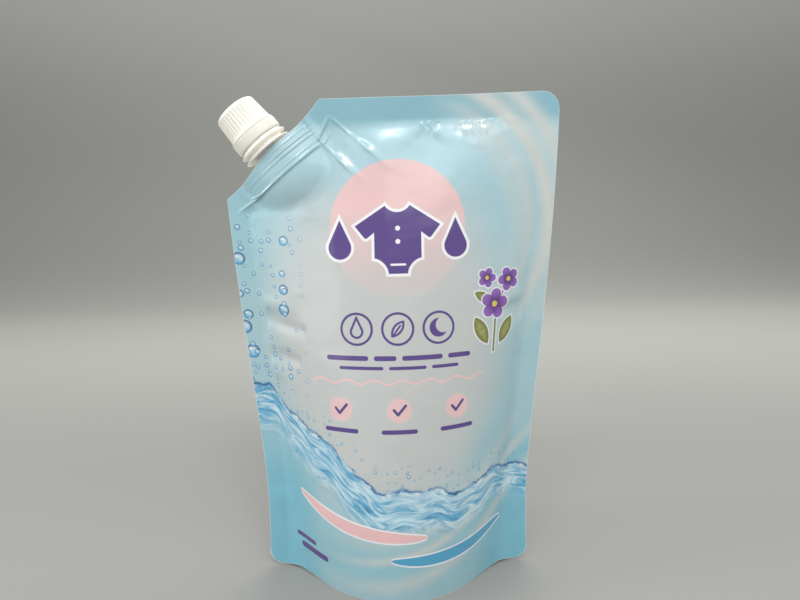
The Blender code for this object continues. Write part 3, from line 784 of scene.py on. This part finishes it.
def boat_half(q, grow=0.0):
    """Half the thickness of the spout's base at a distance along it."""
    share = np.abs(q) / (BOAT_LENGTH / 2)
    return BOAT_TIP / 2 + (BOAT_HALF - BOAT_TIP / 2) * np.maximum(0.0, 1 - share**2) + grow


def spout_cover(x, z):
    """Half the depth of the film where it wraps the spout's base and its weld ribs."""
    away_x, away_z = x - SPOUT_FOOT.x, z - SPOUT_FOOT.z
    depth = -(away_x * SPOUT_AXIS.x + away_z * SPOUT_AXIS.z)
    along = np.abs(away_x * SPOUT_SIDE.x + away_z * SPOUT_SIDE.z)
    lip = BOAT_LENGTH / 2 + FILM_REST
    level = boat_half(np.minimum(along, BOAT_LENGTH / 2)) + FILM_REST
    level *= 1 - smooth(along, lip + 0.5 * MM, lip + 6.5 * MM)
    level *= 1 - smooth(depth, 2 * MM - BOAT_BOTTOM, 34 * MM - BOAT_BOTTOM)
    over = 1 - smooth(along, BOAT_LENGTH / 2 - 2 * MM, BOAT_LENGTH / 2 + 1 * MM)
    first = RIB_WIDTH / 2 - BOAT_TOP
    wave = 0.5 + 0.5 * np.cos(math.tau * (depth - first) / RIB_PITCH)
    ribs = wave**2 * smooth(depth, first - RIB_PITCH / 2, first)
    ribs *= 1 - smooth(depth, RIB_WIDTH - BOAT_BOTTOM, RIB_WIDTH * 2 - BOAT_BOTTOM)
    step = smooth(depth, 0.3 * MM - BOAT_BOTTOM, 1.9 * MM - BOAT_BOTTOM)
    step *= 1 - smooth(depth, 3 * MM - BOAT_BOTTOM, 18 * MM - BOAT_BOTTOM)
    return level + over * (RIB_PRESS * ribs - 0.8 * MM * step)


def film_half(v):
    """Half the thickness of the sealed margin: two films, or four beside the gusset."""
    beside = 1 - smooth(v, GUSSET_HEIGHT + 1 * MM, GUSSET_HEIGHT + 9 * MM)
    return FILM + (FILM + SKIRT_SLIT / 2) * beside


def crease_relief(u, v, creases):
    """Soft ridges and dents, each fading out and widening along its line."""
    relief = np.zeros_like(u)
    for start, end, width, height in creases:
        share, across, _ = by_line(u / MM, v / MM, start, end)
        spread = width * (1 + 0.9 * np.clip(share, 0.0, 1.0))
        fade = smooth(share, -0.15, 0.12) * (1 - smooth(share, 0.35, 1.05))
        relief += height * MM * fade * np.exp(-((across / spread) ** 2))
    return relief


def slack(u, v, phase):
    """The film's faint unevenness, always inwards from the taut shape."""
    a = np.sin(u / (13 * MM) + phase) * np.sin(v / (17 * MM) + 2.1 * phase)
    b = np.sin(u / (7.5 * MM) - v / (21 * MM) + 1.7 * phase)
    c = np.sin(u / (29 * MM) + v / (33 * MM) + phase)
    return (0.16 * a + 0.10 * b + 0.22 * c - 0.48) * MM


def seal_sway(u, v):
    """How far the sealed top bends out of the middle plane, away from the spout."""
    rise = smooth(v, 0.72 * POUCH_HEIGHT, POUCH_HEIGHT) * smooth(u, -30 * MM, 5 * MM)
    return 1.5 * MM * rise * np.sin((u - 8 * MM) / (19 * MM))


def panel_depth(u, v, x, z, back):
    """Distance of the outer film from the pouch's middle plane, with its relief."""
    chamber = chamber_depth(u, v)
    full = smooth(chamber, 0, 3 * MM)
    chamber = np.maximum(0.0, chamber + pillow_depth(u, v) * full)
    cover = spout_cover(x, z)
    blend = 1.4 * MM
    spread = np.maximum(0.0, blend - np.abs(chamber - cover)) / blend
    depth = np.maximum(chamber, cover) + blend / 4 * spread**2
    free = full * (1 - smooth(cover - chamber, -3 * MM, 0))
    relief = np.where(back, crease_relief(u, v, BACK_CREASES), crease_relief(u, v, FRONT_CREASES))
    relief += np.where(back, slack(u, v, 2.0), slack(u, v, 0.6))
    crescents = crease_relief(u, v, SEAL_CRESCENTS)
    return film_half(v) + np.maximum(0.0, depth + relief * free + crescents)


def narrowed(u, v):
    """Place across the filled pouch: the film's width is used up by its bulge."""
    stride = u / BULGE_STEPS
    place = np.zeros_like(u)
    before = chamber_depth(np.zeros_like(u), v)
    for i in range(1, BULGE_STEPS + 1):
        after = chamber_depth(stride * i, v)
        place += np.sign(u) * np.sqrt(np.maximum(0.0, stride**2 - (after - before) ** 2))
        before = after
    return place


def lifted(u, v):
    """Height above the floor: the base's corners stand clear, and the spout sags."""
    lift = CORNER_LIFT * smooth(np.abs(u), FLOOR_HALF, HALF_WIDTH) * (1 - smooth(v, 0, 120 * MM))
    sag = SPOUT_SAG * smooth(-u, -HALF_WIDTH, HALF_WIDTH - CUT_ACROSS)
    return v + lift - sag * smooth(v, POUCH_HEIGHT / 2, POUCH_HEIGHT)


def column_places():
    """Places across the film, close together in its rounded corners."""
    turn = np.radians(np.arange(0, 90, 9))
    corner = HALF_WIDTH - CORNER_RADIUS * (1 - np.cos(turn))
    inner = HALF_WIDTH - CORNER_RADIUS
    middle = np.linspace(-inner, inner, round(2 * inner / COLUMN_STEP) + 1)
    edge = corner[corner > inner + 0.2 * MM]
    return np.concatenate([-edge, middle, edge[::-1]])


def film_section(u):
    """Film heights at one place across: outer side, inside of the skirt, gusset and its seal."""
    low, seal, crease = outline_bottom(u), seal_height(u), crease_height(u)
    insets = MARGIN_DEPTH * (1 - np.linspace(0, 1, MARGIN_ROWS + 1)) ** 1.15
    margin = inset_top(np.full(len(insets), u), insets)
    skirt = low + (seal - low) * np.arange(SKIRT_ROWS) / SKIRT_ROWS
    middle = seal + (margin[0] - seal) * np.arange(MIDDLE_ROWS) / MIDDLE_ROWS
    outer = np.concatenate([skirt, middle, margin])
    inner = np.append(skirt, seal)
    return outer, inner, crease, seal


def mouth_lip(u, gap, back):
    """The open mouth round the spout: its floor and its rim, inside the outer film."""
    column = np.full(2, u)
    v = inset_top(column, np.array([MOUTH_DEPTH * float(smooth(gap, 0, 1.5 * MM)), 0.0]))
    room = panel_depth(column, v, narrowed(column, v), lifted(column, v), back) - 1.75 * FILM
    return v, np.clip(room, 0.0, gap)


def film_points(u, closing):
    """One closed round at a place across the film: true places, then film places and side.

    It runs from the mouth down the front, inside its skirt and over the gusset, and then up
    behind in the same way. A closing round at either side edge has its skirts together.
    """
    outer, inner, crease, seal = film_section(u)
    column = np.full(len(outer), u)
    halves = []
    for back in (False, True):
        x, z = narrowed(column, outer), lifted(column, outer)
        depth = panel_depth(column, outer, x, z, back)
        inside = depth[: len(inner)] - 2 * FILM
        share = 1 - np.arange(1, GUSSET_ROWS + 1) / GUSSET_ROWS
        bow = (np.maximum(0.0, share - 0.4) / 0.6) ** 2
        across_v = crease + (seal - crease) * bow
        across_y = inside[-1] * share
        lip_v, lip_y = mouth_lip(u, max(0.0, depth[-1] - 1.75 * FILM), back)
        v = np.concatenate([lip_v, outer[::-1], inner, across_v])
        y = np.concatenate([lip_y, depth[::-1], inside, across_y])
        if closing:
            margin = 1 - smooth(v, GUSSET_HEIGHT - 4 * MM, GUSSET_HEIGHT)
            y = margin * (FILM + SKIRT_SLIT / 2)
        sign = 1.0 if back else -1.0
        kind = np.concatenate([np.full(2 + len(outer), sign), np.full(len(inner) + GUSSET_ROWS, 0.0)])
        halves.append((v, sign * y, kind))
    (v_front, y_front, k_front), (v_back, y_back, k_back) = halves
    v = np.concatenate([v_front, v_back[::-1][1:], v_front[:1]])
    y = np.concatenate([y_front, y_back[::-1][1:], y_front[:1]])
    kind = np.concatenate([k_front, k_back[::-1][1:], k_front[:1]])
    column = np.full(len(v), u)
    sway = seal_sway(column, v)
    places = np.stack([narrowed(column, v), y + sway, lifted(column, v)], axis=1)
    return places, column, v, kind


def edge_distance(u, v):
    """Distance inside the film's cut outline."""
    slanted = np.where(u < -HALF_WIDTH + CUT_ACROSS, CUT_SLANT, 1.0)
    top = (inset_top(u, 0.0) - v) / slanted
    return np.minimum(np.minimum(HALF_WIDTH - np.abs(u), top), v - outline_bottom(u))


def make_film(material):
    """The three welded films as one closed skin, moved from a flat grid."""
    us = column_places()
    rounds = [film_points(us[0], True)]
    rounds += [film_points(u, False) for u in us]
    rounds += [film_points(us[-1], True)]
    count = len(rounds[0][1])
    bm = bmesh.new()
    bmesh.ops.create_grid(bm, x_segments=count - 1, y_segments=len(rounds) - 1, size=0.5)
    film = bm.verts.layers.float_vector.new("film")
    edge = bm.verts.layers.float.new("edge")
    for vert in bm.verts:
        i = round((vert.co.x + 0.5) * (count - 1))
        j = round((vert.co.y + 0.5) * (len(rounds) - 1))
        places, u, v, kind = rounds[j]
        vert.co = places[i]
        vert[film] = (u[i] / MM, v[i] / MM, kind[i])
        vert[edge] = edge_distance(u[i], v[i]) / MM
    bmesh.ops.remove_doubles(bm, verts=bm.verts, dist=FILM_JOIN)
    bmesh.ops.dissolve_degenerate(bm, edges=bm.edges, dist=FILM_JOIN)
    bmesh.ops.recalc_face_normals(bm, faces=bm.faces)
    add_piece("pouch_film", bm, material, "pouch_body", ["pouch"], 40)


# Turned and moulded pieces


def add_object(name, bm, material):
    """Makes a mesh into a smooth object in the scene."""
    mesh = bpy.data.meshes.new(name)
    bm.to_mesh(mesh)
    bm.free()
    mesh.shade_smooth()
    mesh.materials.append(material)
    made = bpy.data.objects.new(name, mesh)
    bpy.context.scene.collection.objects.link(made)
    return made


def add_piece(name, bm, material, body, nodes, smooth_angle):
    """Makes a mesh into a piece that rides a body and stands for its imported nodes."""
    if bm.calc_volume(signed=True) < 0:
        bmesh.ops.reverse_faces(bm, faces=bm.faces)
    piece = add_object(name, bm, material)
    piece.data.set_sharp_from_angle(angle=math.radians(smooth_angle))
    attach(piece, body)
    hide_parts(*nodes)


def on_spout(bm):
    """Moves a mesh modelled about Z to the spout's axis, with X along the cut edge."""
    depth = SPOUT_AXIS.cross(SPOUT_SIDE)
    turn = Matrix((SPOUT_SIDE, depth, SPOUT_AXIS)).transposed().to_4x4()
    bmesh.ops.transform(bm, matrix=Matrix.Translation(SPOUT_FOOT) @ turn, verts=bm.verts)


def add_moulding(name, bm, material, body, node, smooth_angle):
    """Makes a white moulding, modelled about Z, into a piece on the spout's axis."""
    bmesh.ops.recalc_face_normals(bm, faces=bm.faces)
    on_spout(bm)
    add_piece(name, bm, material, body, [node], smooth_angle)


def rounded(outline, radius, steps=3):
    """An outline of (radius, height) points with each corner drawn as a small curve."""
    soft = []
    count = len(outline)
    for i, point in enumerate(outline):
        if point[0] == 0:
            soft.append(point)
            continue
        here = Vector(point)
        before, after = Vector(outline[i - 1]) - here, Vector(outline[(i + 1) % count]) - here
        cut = min(radius, before.length * 0.45, after.length * 0.45)
        first, last = here + before.normalized() * cut, here + after.normalized() * cut
        for k in range(steps + 1):
            t = k / steps
            soft.append(tuple(first * (1 - t) ** 2 + here * 2 * t * (1 - t) + last * t**2))
    return soft


def turn(bm, outline, steps):
    """Adds a solid of revolution about Z; an outline that starts on the axis is open there."""
    verts = [bm.verts.new((r, 0, z)) for r, z in outline]
    edges = [bm.edges.new(pair) for pair in zip(verts, verts[1:])]
    if outline[0][0] > 0:
        edges.append(bm.edges.new((verts[-1], verts[0])))
    bmesh.ops.spin(
        bm, geom=edges, cent=(0, 0, 0), axis=(0, 0, 1),
        angle=math.tau, steps=steps, use_merge=True,
    )
    bmesh.ops.remove_doubles(bm, verts=bm.verts, dist=0.001 * MM)


def add_thread(bm, root_radius, crest_radius, height, turns, start_angle):
    """Adds one helical ridge that runs out into its wall at both ends."""
    steps = round(turns * THREAD_STEPS)
    section = [
        (root_radius, height - THREAD_ROOT), (crest_radius, height - THREAD_CREST),
        (crest_radius, height + THREAD_CREST), (root_radius, height + THREAD_ROOT),
    ]
    ridge = bmesh.new()
    verts = [ridge.verts.new((r, 0, z)) for r, z in section]
    edges = [ridge.edges.new((verts[i], verts[(i + 1) % 4])) for i in range(4)]
    made = bmesh.ops.spin(
        ridge, geom=edges, cent=(0, 0, 0), axis=(0, 0, 1), dvec=(0, 0, THREAD_LEAD * turns / steps),
        angle=math.tau * turns, steps=steps, use_merge=False,
    )
    last = [vert for vert in made["geom_last"] if isinstance(vert, bmesh.types.BMVert)]
    bmesh.ops.contextual_create(ridge, geom=verts)
    bmesh.ops.contextual_create(ridge, geom=last)
    for k, vert in enumerate(ridge.verts):
        ring = k // 4
        run_out = min(1.0, ring / THREAD_RUN_OUT, (steps - ring) / THREAD_RUN_OUT)
        radius = math.hypot(vert.co.x, vert.co.y)
        if abs(radius - crest_radius) < abs(radius - root_radius):
            scale = (root_radius + (crest_radius - root_radius) * run_out) / radius
            vert.co.x *= scale
            vert.co.y *= scale
    bmesh.ops.rotate(
        ridge, verts=ridge.verts, cent=(0, 0, 0), matrix=Matrix.Rotation(start_angle, 3, "Z"),
    )
    bmesh.ops.recalc_face_normals(ridge, faces=ridge.faces)
    mesh = bpy.data.meshes.new("thread_ridge")
    ridge.to_mesh(mesh)
    ridge.free()
    bm.from_mesh(mesh)
    bpy.data.meshes.remove(mesh)


def add_threads(bm, root_radius, crest_radius, height, turns, offset):
    """Adds the thread's equal ridges, evenly round the axis from an offset in ridges."""
    for start in range(THREAD_STARTS):
        angle = math.tau * (start + offset) / THREAD_STARTS
        add_thread(bm, root_radius, crest_radius, height, turns, angle)


def add_boat(bm):
    """Adds the spout's pointed base with its weld ribs."""
    half = BOAT_LENGTH / 2
    places = half * np.sin(np.radians(np.arange(-90, 91, 6)))
    rings = []
    for i in range(RIB_COUNT):
        low = BOAT_BOTTOM + i * RIB_PITCH
        levels = [(low, RIB_DEPTH * 0.6), (low + 0.15 * MM, RIB_DEPTH),
                  (low + RIB_WIDTH - 0.15 * MM, RIB_DEPTH), (low + RIB_WIDTH, RIB_DEPTH * 0.6)]
        if i < RIB_COUNT - 1:
            levels += [(low + RIB_WIDTH + 0.1 * MM, 0), (low + RIB_PITCH - 0.1 * MM, 0)]
        rings += levels
    before = None
    for z, grow in rings:
        ends = np.where(np.abs(places) > 0.99 * half, np.sign(places) * grow, 0)
        side = boat_half(places, grow)
        loop = [(q, -y, z) for q, y in zip(places + ends, side)]
        loop += [(q, y, z) for q, y in zip((places + ends)[::-1], side[::-1])]
        verts = [bm.verts.new(point) for point in loop]
        for i, vert in enumerate(verts):
            bm.edges.new((vert, verts[(i + 1) % len(verts)]))
        if before is None:
            bmesh.ops.contextual_create(bm, geom=verts)
        else:
            for i in range(len(verts)):
                j = (i + 1) % len(verts)
                bm.faces.new((before[i], before[j], verts[j], verts[i]))
        before = verts
    bmesh.ops.contextual_create(bm, geom=before)


def make_spout(material):
    """The spout: ribbed base between the films, rail flanges, shoulder, bead and thread."""
    high = HIGH_FLANGE + FLANGE_THICKNESS
    bm = bmesh.new()
    outline = [
        (BORE_RADIUS, BOAT_BOTTOM - 0.1 * MM), (STEM_RADIUS, BOAT_BOTTOM - 0.1 * MM),
        (STEM_RADIUS, LOW_FLANGE), (FLANGE_RADIUS, LOW_FLANGE),
        (FLANGE_RADIUS, LOW_FLANGE + FLANGE_THICKNESS * 0.6),
        (RAIL_RADIUS, LOW_FLANGE + FLANGE_THICKNESS), (RAIL_RADIUS, HIGH_FLANGE),
        (FLANGE_RADIUS, HIGH_FLANGE + FLANGE_THICKNESS * 0.3),
        (FLANGE_RADIUS, HIGH_FLANGE + FLANGE_THICKNESS * 0.8),
        (SHOULDER_RADIUS, high + 0.8 * MM), (SHOULDER_RADIUS, SHOULDER_TOP),
        (NECK_RADIUS, SHOULDER_TOP), (NECK_RADIUS, BEAD_BOTTOM), (BEAD_RADIUS, BEAD_BOTTOM),
        (BEAD_RADIUS - 0.3 * MM, BEAD_BOTTOM + BEAD_THICKNESS * 0.5),
        (NECK_RADIUS, BEAD_BOTTOM + BEAD_THICKNESS * 1.5),
        (NECK_RADIUS, NECK_TOP), (BORE_RADIUS, NECK_TOP),
    ]
    turn(bm, rounded(outline, 0.35 * MM), TURN_STEPS)
    add_boat(bm)
    bmesh.ops.recalc_face_normals(bm, faces=bm.faces)
    add_threads(bm, NECK_RADIUS - 0.2 * MM, NECK_RADIUS + 0.5 * MM, CAP_BOTTOM + 2.2 * MM, 1.6, 0)
    add_moulding("spout_moulding", bm, material, "pouch_body", "spout", 35)


def make_tamper_ring(material):
    """The tamper ring with the stubs of its thin bridges."""
    wall, top = BAND_RADIUS - BAND_WALL, BAND_TOP + SLIT_COVER
    outline = [
        (BAND_LIP_RADIUS, BAND_BOTTOM + BAND_LIP_HEIGHT * 0.4),
        (BAND_LIP_RADIUS + 0.6 * MM, BAND_BOTTOM - BAND_DROP * 0.5),
        (SHOULDER_RADIUS - 0.2 * MM, BAND_BOTTOM - BAND_DROP),
        (BAND_RADIUS - 0.6 * MM, BAND_BOTTOM - BAND_DROP),
        (BAND_RADIUS, BAND_BOTTOM + 0.5 * MM), (BAND_RADIUS, BAND_TOP),
        (BAND_RADIUS - 0.1 * MM, BAND_TOP + 0.3 * MM), (BAND_RADIUS - 0.2 * MM, top),
        (wall, top), (wall, BAND_BOTTOM + BAND_LIP_HEIGHT),
        (BAND_LIP_RADIUS, BAND_BOTTOM + BAND_LIP_HEIGHT),
    ]
    bm = bmesh.new()
    turn(bm, rounded(outline, 0.2 * MM), TURN_STEPS)
    upper = [f for f in bm.faces if all(abs(v.co.z - top) < 0.01 * MM for v in f.verts)]
    upper = [f for f in upper if f.calc_area() > 0.3 * MM * MM]
    upper.sort(key=lambda f: math.atan2(f.calc_center_median().y, f.calc_center_median().x))
    raised = bmesh.ops.extrude_discrete_faces(bm, faces=upper[:: len(upper) // BRIDGE_COUNT])
    for face in raised["faces"]:
        bmesh.ops.translate(bm, verts=face.verts, vec=(0, 0, BRIDGE_HEIGHT))
        bmesh.ops.scale(bm, verts=face.verts, vec=(0.7, 0.7, 1),
                        space=Matrix.Translation(-face.calc_center_median()))
    add_moulding("tamper_ring", bm, material, "band_body", "tamper_band", 35)


def cap_outline():
    """Cap outline: plug, inner wall, flared rim, tapered grip and domed top."""
    top = CAP_TOP - CROWN_TRIM
    inner = CAP_RADIUS - FLUTE_DEPTH - CAP_WALL
    plug = BORE_RADIUS - 0.3 * MM
    crown = CAP_RADIUS - CAP_TAPER
    inside = [
        (plug - 1.0 * MM, CAP_CEILING), (plug - 1.0 * MM, CAP_CEILING - PLUG_DEPTH),
        (plug - 0.3 * MM, CAP_CEILING - PLUG_DEPTH), (plug, CAP_CEILING - PLUG_DEPTH * 0.7),
        (plug, CAP_CEILING), (inner - 0.6 * MM, CAP_CEILING),
        (inner - 0.6 * MM, CAP_BOTTOM + 3 * MM), (inner, CAP_BOTTOM + 2.4 * MM),
        (inner, CAP_BOTTOM), (BAND_RADIUS - 0.2 * MM, CAP_BOTTOM),
        (BAND_RADIUS - 0.2 * MM, CAP_BOTTOM + CAP_RIM_HEIGHT * 0.7),
        (CAP_RADIUS + 0.1 * MM, CAP_BOTTOM + CAP_RIM_HEIGHT * 1.4),
    ]
    rise = top - CAP_DOME - (CAP_BOTTOM + CAP_RIM_HEIGHT * 1.6)
    wall = [(CAP_RADIUS - CAP_TAPER * k / 8, CAP_BOTTOM + CAP_RIM_HEIGHT * 1.6 + rise * k / 8)
            for k in range(9)]
    dome = []
    for k in range(1, 9):
        angle = math.radians(90 * k / 8)
        radius = crown - DOME_REACH * (1 - math.cos(angle))
        dome.append((radius, top - CAP_DOME * (1 - math.sin(angle))))
    flat = [(crown - DOME_REACH - 2.4 * MM, top), (1.2 * MM, top), (0, top)]
    return [(0, CAP_CEILING)] + rounded(inside, 0.15 * MM, 2) + wall + dome + flat


def make_cap(material):
    """The screw cap, its grip drawn in between ribs that fade out into the dome."""
    bm = bmesh.new()
    turn(bm, cap_outline(), FLUTE_COUNT * 6)
    low, high = CAP_BOTTOM + CAP_RIM_HEIGHT * 1.5, CAP_TOP - CAP_DOME * 0.55
    for vert in bm.verts:
        radius = math.hypot(vert.co.x, vert.co.y)
        if low < vert.co.z and radius > CAP_RADIUS - CAP_TAPER - 1.2 * MM:
            turned = math.atan2(vert.co.y, vert.co.x) * FLUTE_COUNT
            hollow = 0.5 - 0.5 * math.cos(turned)
            fade = min(1.0, (vert.co.z - low) / (0.3 * MM))
            fade *= float(1 - smooth(vert.co.z, high - 2 * MM, high))
            scale = 1 - FLUTE_DEPTH * hollow * fade / radius
            vert.co.x *= scale
            vert.co.y *= scale
    inner = CAP_RADIUS - FLUTE_DEPTH - CAP_WALL - 0.6 * MM
    add_threads(bm, inner + 0.2 * MM, inner - 0.45 * MM, CAP_BOTTOM + 3.6 * MM, 1.0, 0.5)
    add_moulding("screw_cap", bm, material, "cap_body", "cap", 30)


# Studio


def make_sweep():
    """A plain pale floor that curves up into a backdrop."""
    profile = [(SWEEP_FRONT, 0.0), (SWEEP_BACK, 0.0)]
    for k in range(1, SWEEP_STEPS + 1):
        angle = math.radians(90 * k / SWEEP_STEPS)
        profile.append((SWEEP_BACK + SWEEP_BEND * math.sin(angle), SWEEP_BEND * (1 - math.cos(angle))))
    profile.append((SWEEP_BACK + SWEEP_BEND, SWEEP_HEIGHT))
    bm = bmesh.new()
    verts = [bm.verts.new((-SWEEP_HALF, y, z)) for y, z in profile]
    edges = [bm.edges.new(pair) for pair in zip(verts, verts[1:])]
    pulled = bmesh.ops.extrude_edge_only(bm, edges=edges)["geom"]
    moved = [vert for vert in pulled if isinstance(vert, bmesh.types.BMVert)]
    bmesh.ops.translate(bm, verts=moved, vec=(2 * SWEEP_HALF, 0, 0))
    bmesh.ops.recalc_face_normals(bm, faces=bm.faces)
    sweep = add_object("sweep", bm, sweep_material())


def sweep_material():
    """Matt grey paper, with painted shade: darker near the front and low on the wall, lighter up the
    wall.
    """
    paint = Paint("sweep_paper", 0.85)
    place = paint.object_place()
    _, y, z = paint.parts(place)
    cloud = paint.noise(place, 3.0, 2.0) * 0.06
    # Painted shade and light: the floor darker towards the front, the wall darker low down and lighter
    # up high
    floor = paint.mix(paint.ease(y, 0.1, 0.55), srgb(151, 151, 148), srgb(178, 178, 174))
    wall = paint.mix(paint.ease(z, 0.25, 1.1), srgb(146, 148, 144), srgb(200, 202, 198))
    colour = paint.mix(paint.ease(y, 0.6, 1.1), floor, wall)
    paint.set("Base Color", paint.mix(cloud, colour, srgb(120, 120, 120)))
    return paint.material


def add_lamp(name, place, size, power):
    data = bpy.data.lights.new(name, "AREA")
    data.shape = "RECTANGLE"
    data.size, data.size_y = size
    data.energy = power
    lamp = bpy.data.objects.new(name, data)
    bpy.context.scene.collection.objects.link(lamp)
    lamp.location = place
    lamp.rotation_euler = (Vector(LAMP_AIM) - Vector(place)).to_track_quat("-Z", "Y").to_euler()


def make_studio():
    make_sweep()
    world = bpy.data.worlds.new("studio")
    bpy.context.scene.world = world
    world.use_nodes = True
    shade = world.node_tree.nodes["Background"]
    shade.inputs["Color"].default_value = WORLD_COLOUR
    shade.inputs["Strength"].default_value = WORLD_STRENGTH
    for lamp in LAMPS:
        add_lamp(*lamp)


def make_camera():
    forward = Vector((
        math.sin(CAMERA_YAW) * math.cos(CAMERA_PITCH),
        math.cos(CAMERA_YAW) * math.cos(CAMERA_PITCH),
        -math.sin(CAMERA_PITCH),
    ))
    level = Vector((math.cos(CAMERA_YAW), -math.sin(CAMERA_YAW), 0))
    right = level * math.cos(CAMERA_ROLL) + level.cross(forward) * math.sin(CAMERA_ROLL)
    turned = Matrix((right, right.cross(forward), -forward)).transposed().to_4x4()
    data = bpy.data.cameras.new("camera")
    data.sensor_width = 36
    data.lens = LENS
    data.clip_start = 0.01
    camera = bpy.data.objects.new("camera", data)
    bpy.context.scene.collection.objects.link(camera)
    camera.matrix_world = Matrix.Translation(CAMERA_PLACE) @ turned
    bpy.context.scene.camera = camera


def main():
    bpy.context.scene.view_settings.view_transform = "Standard"
    make_camera()
    make_film(film_material())
    cap_plastic = plastic_material("cap_plastic", srgb(242, 235, 221), srgb(247, 242, 231))
    make_spout(plastic_material("spout_plastic", srgb(245, 240, 229), srgb(249, 245, 237)))
    make_tamper_ring(cap_plastic)
    make_cap(cap_plastic)
    make_studio()


main()
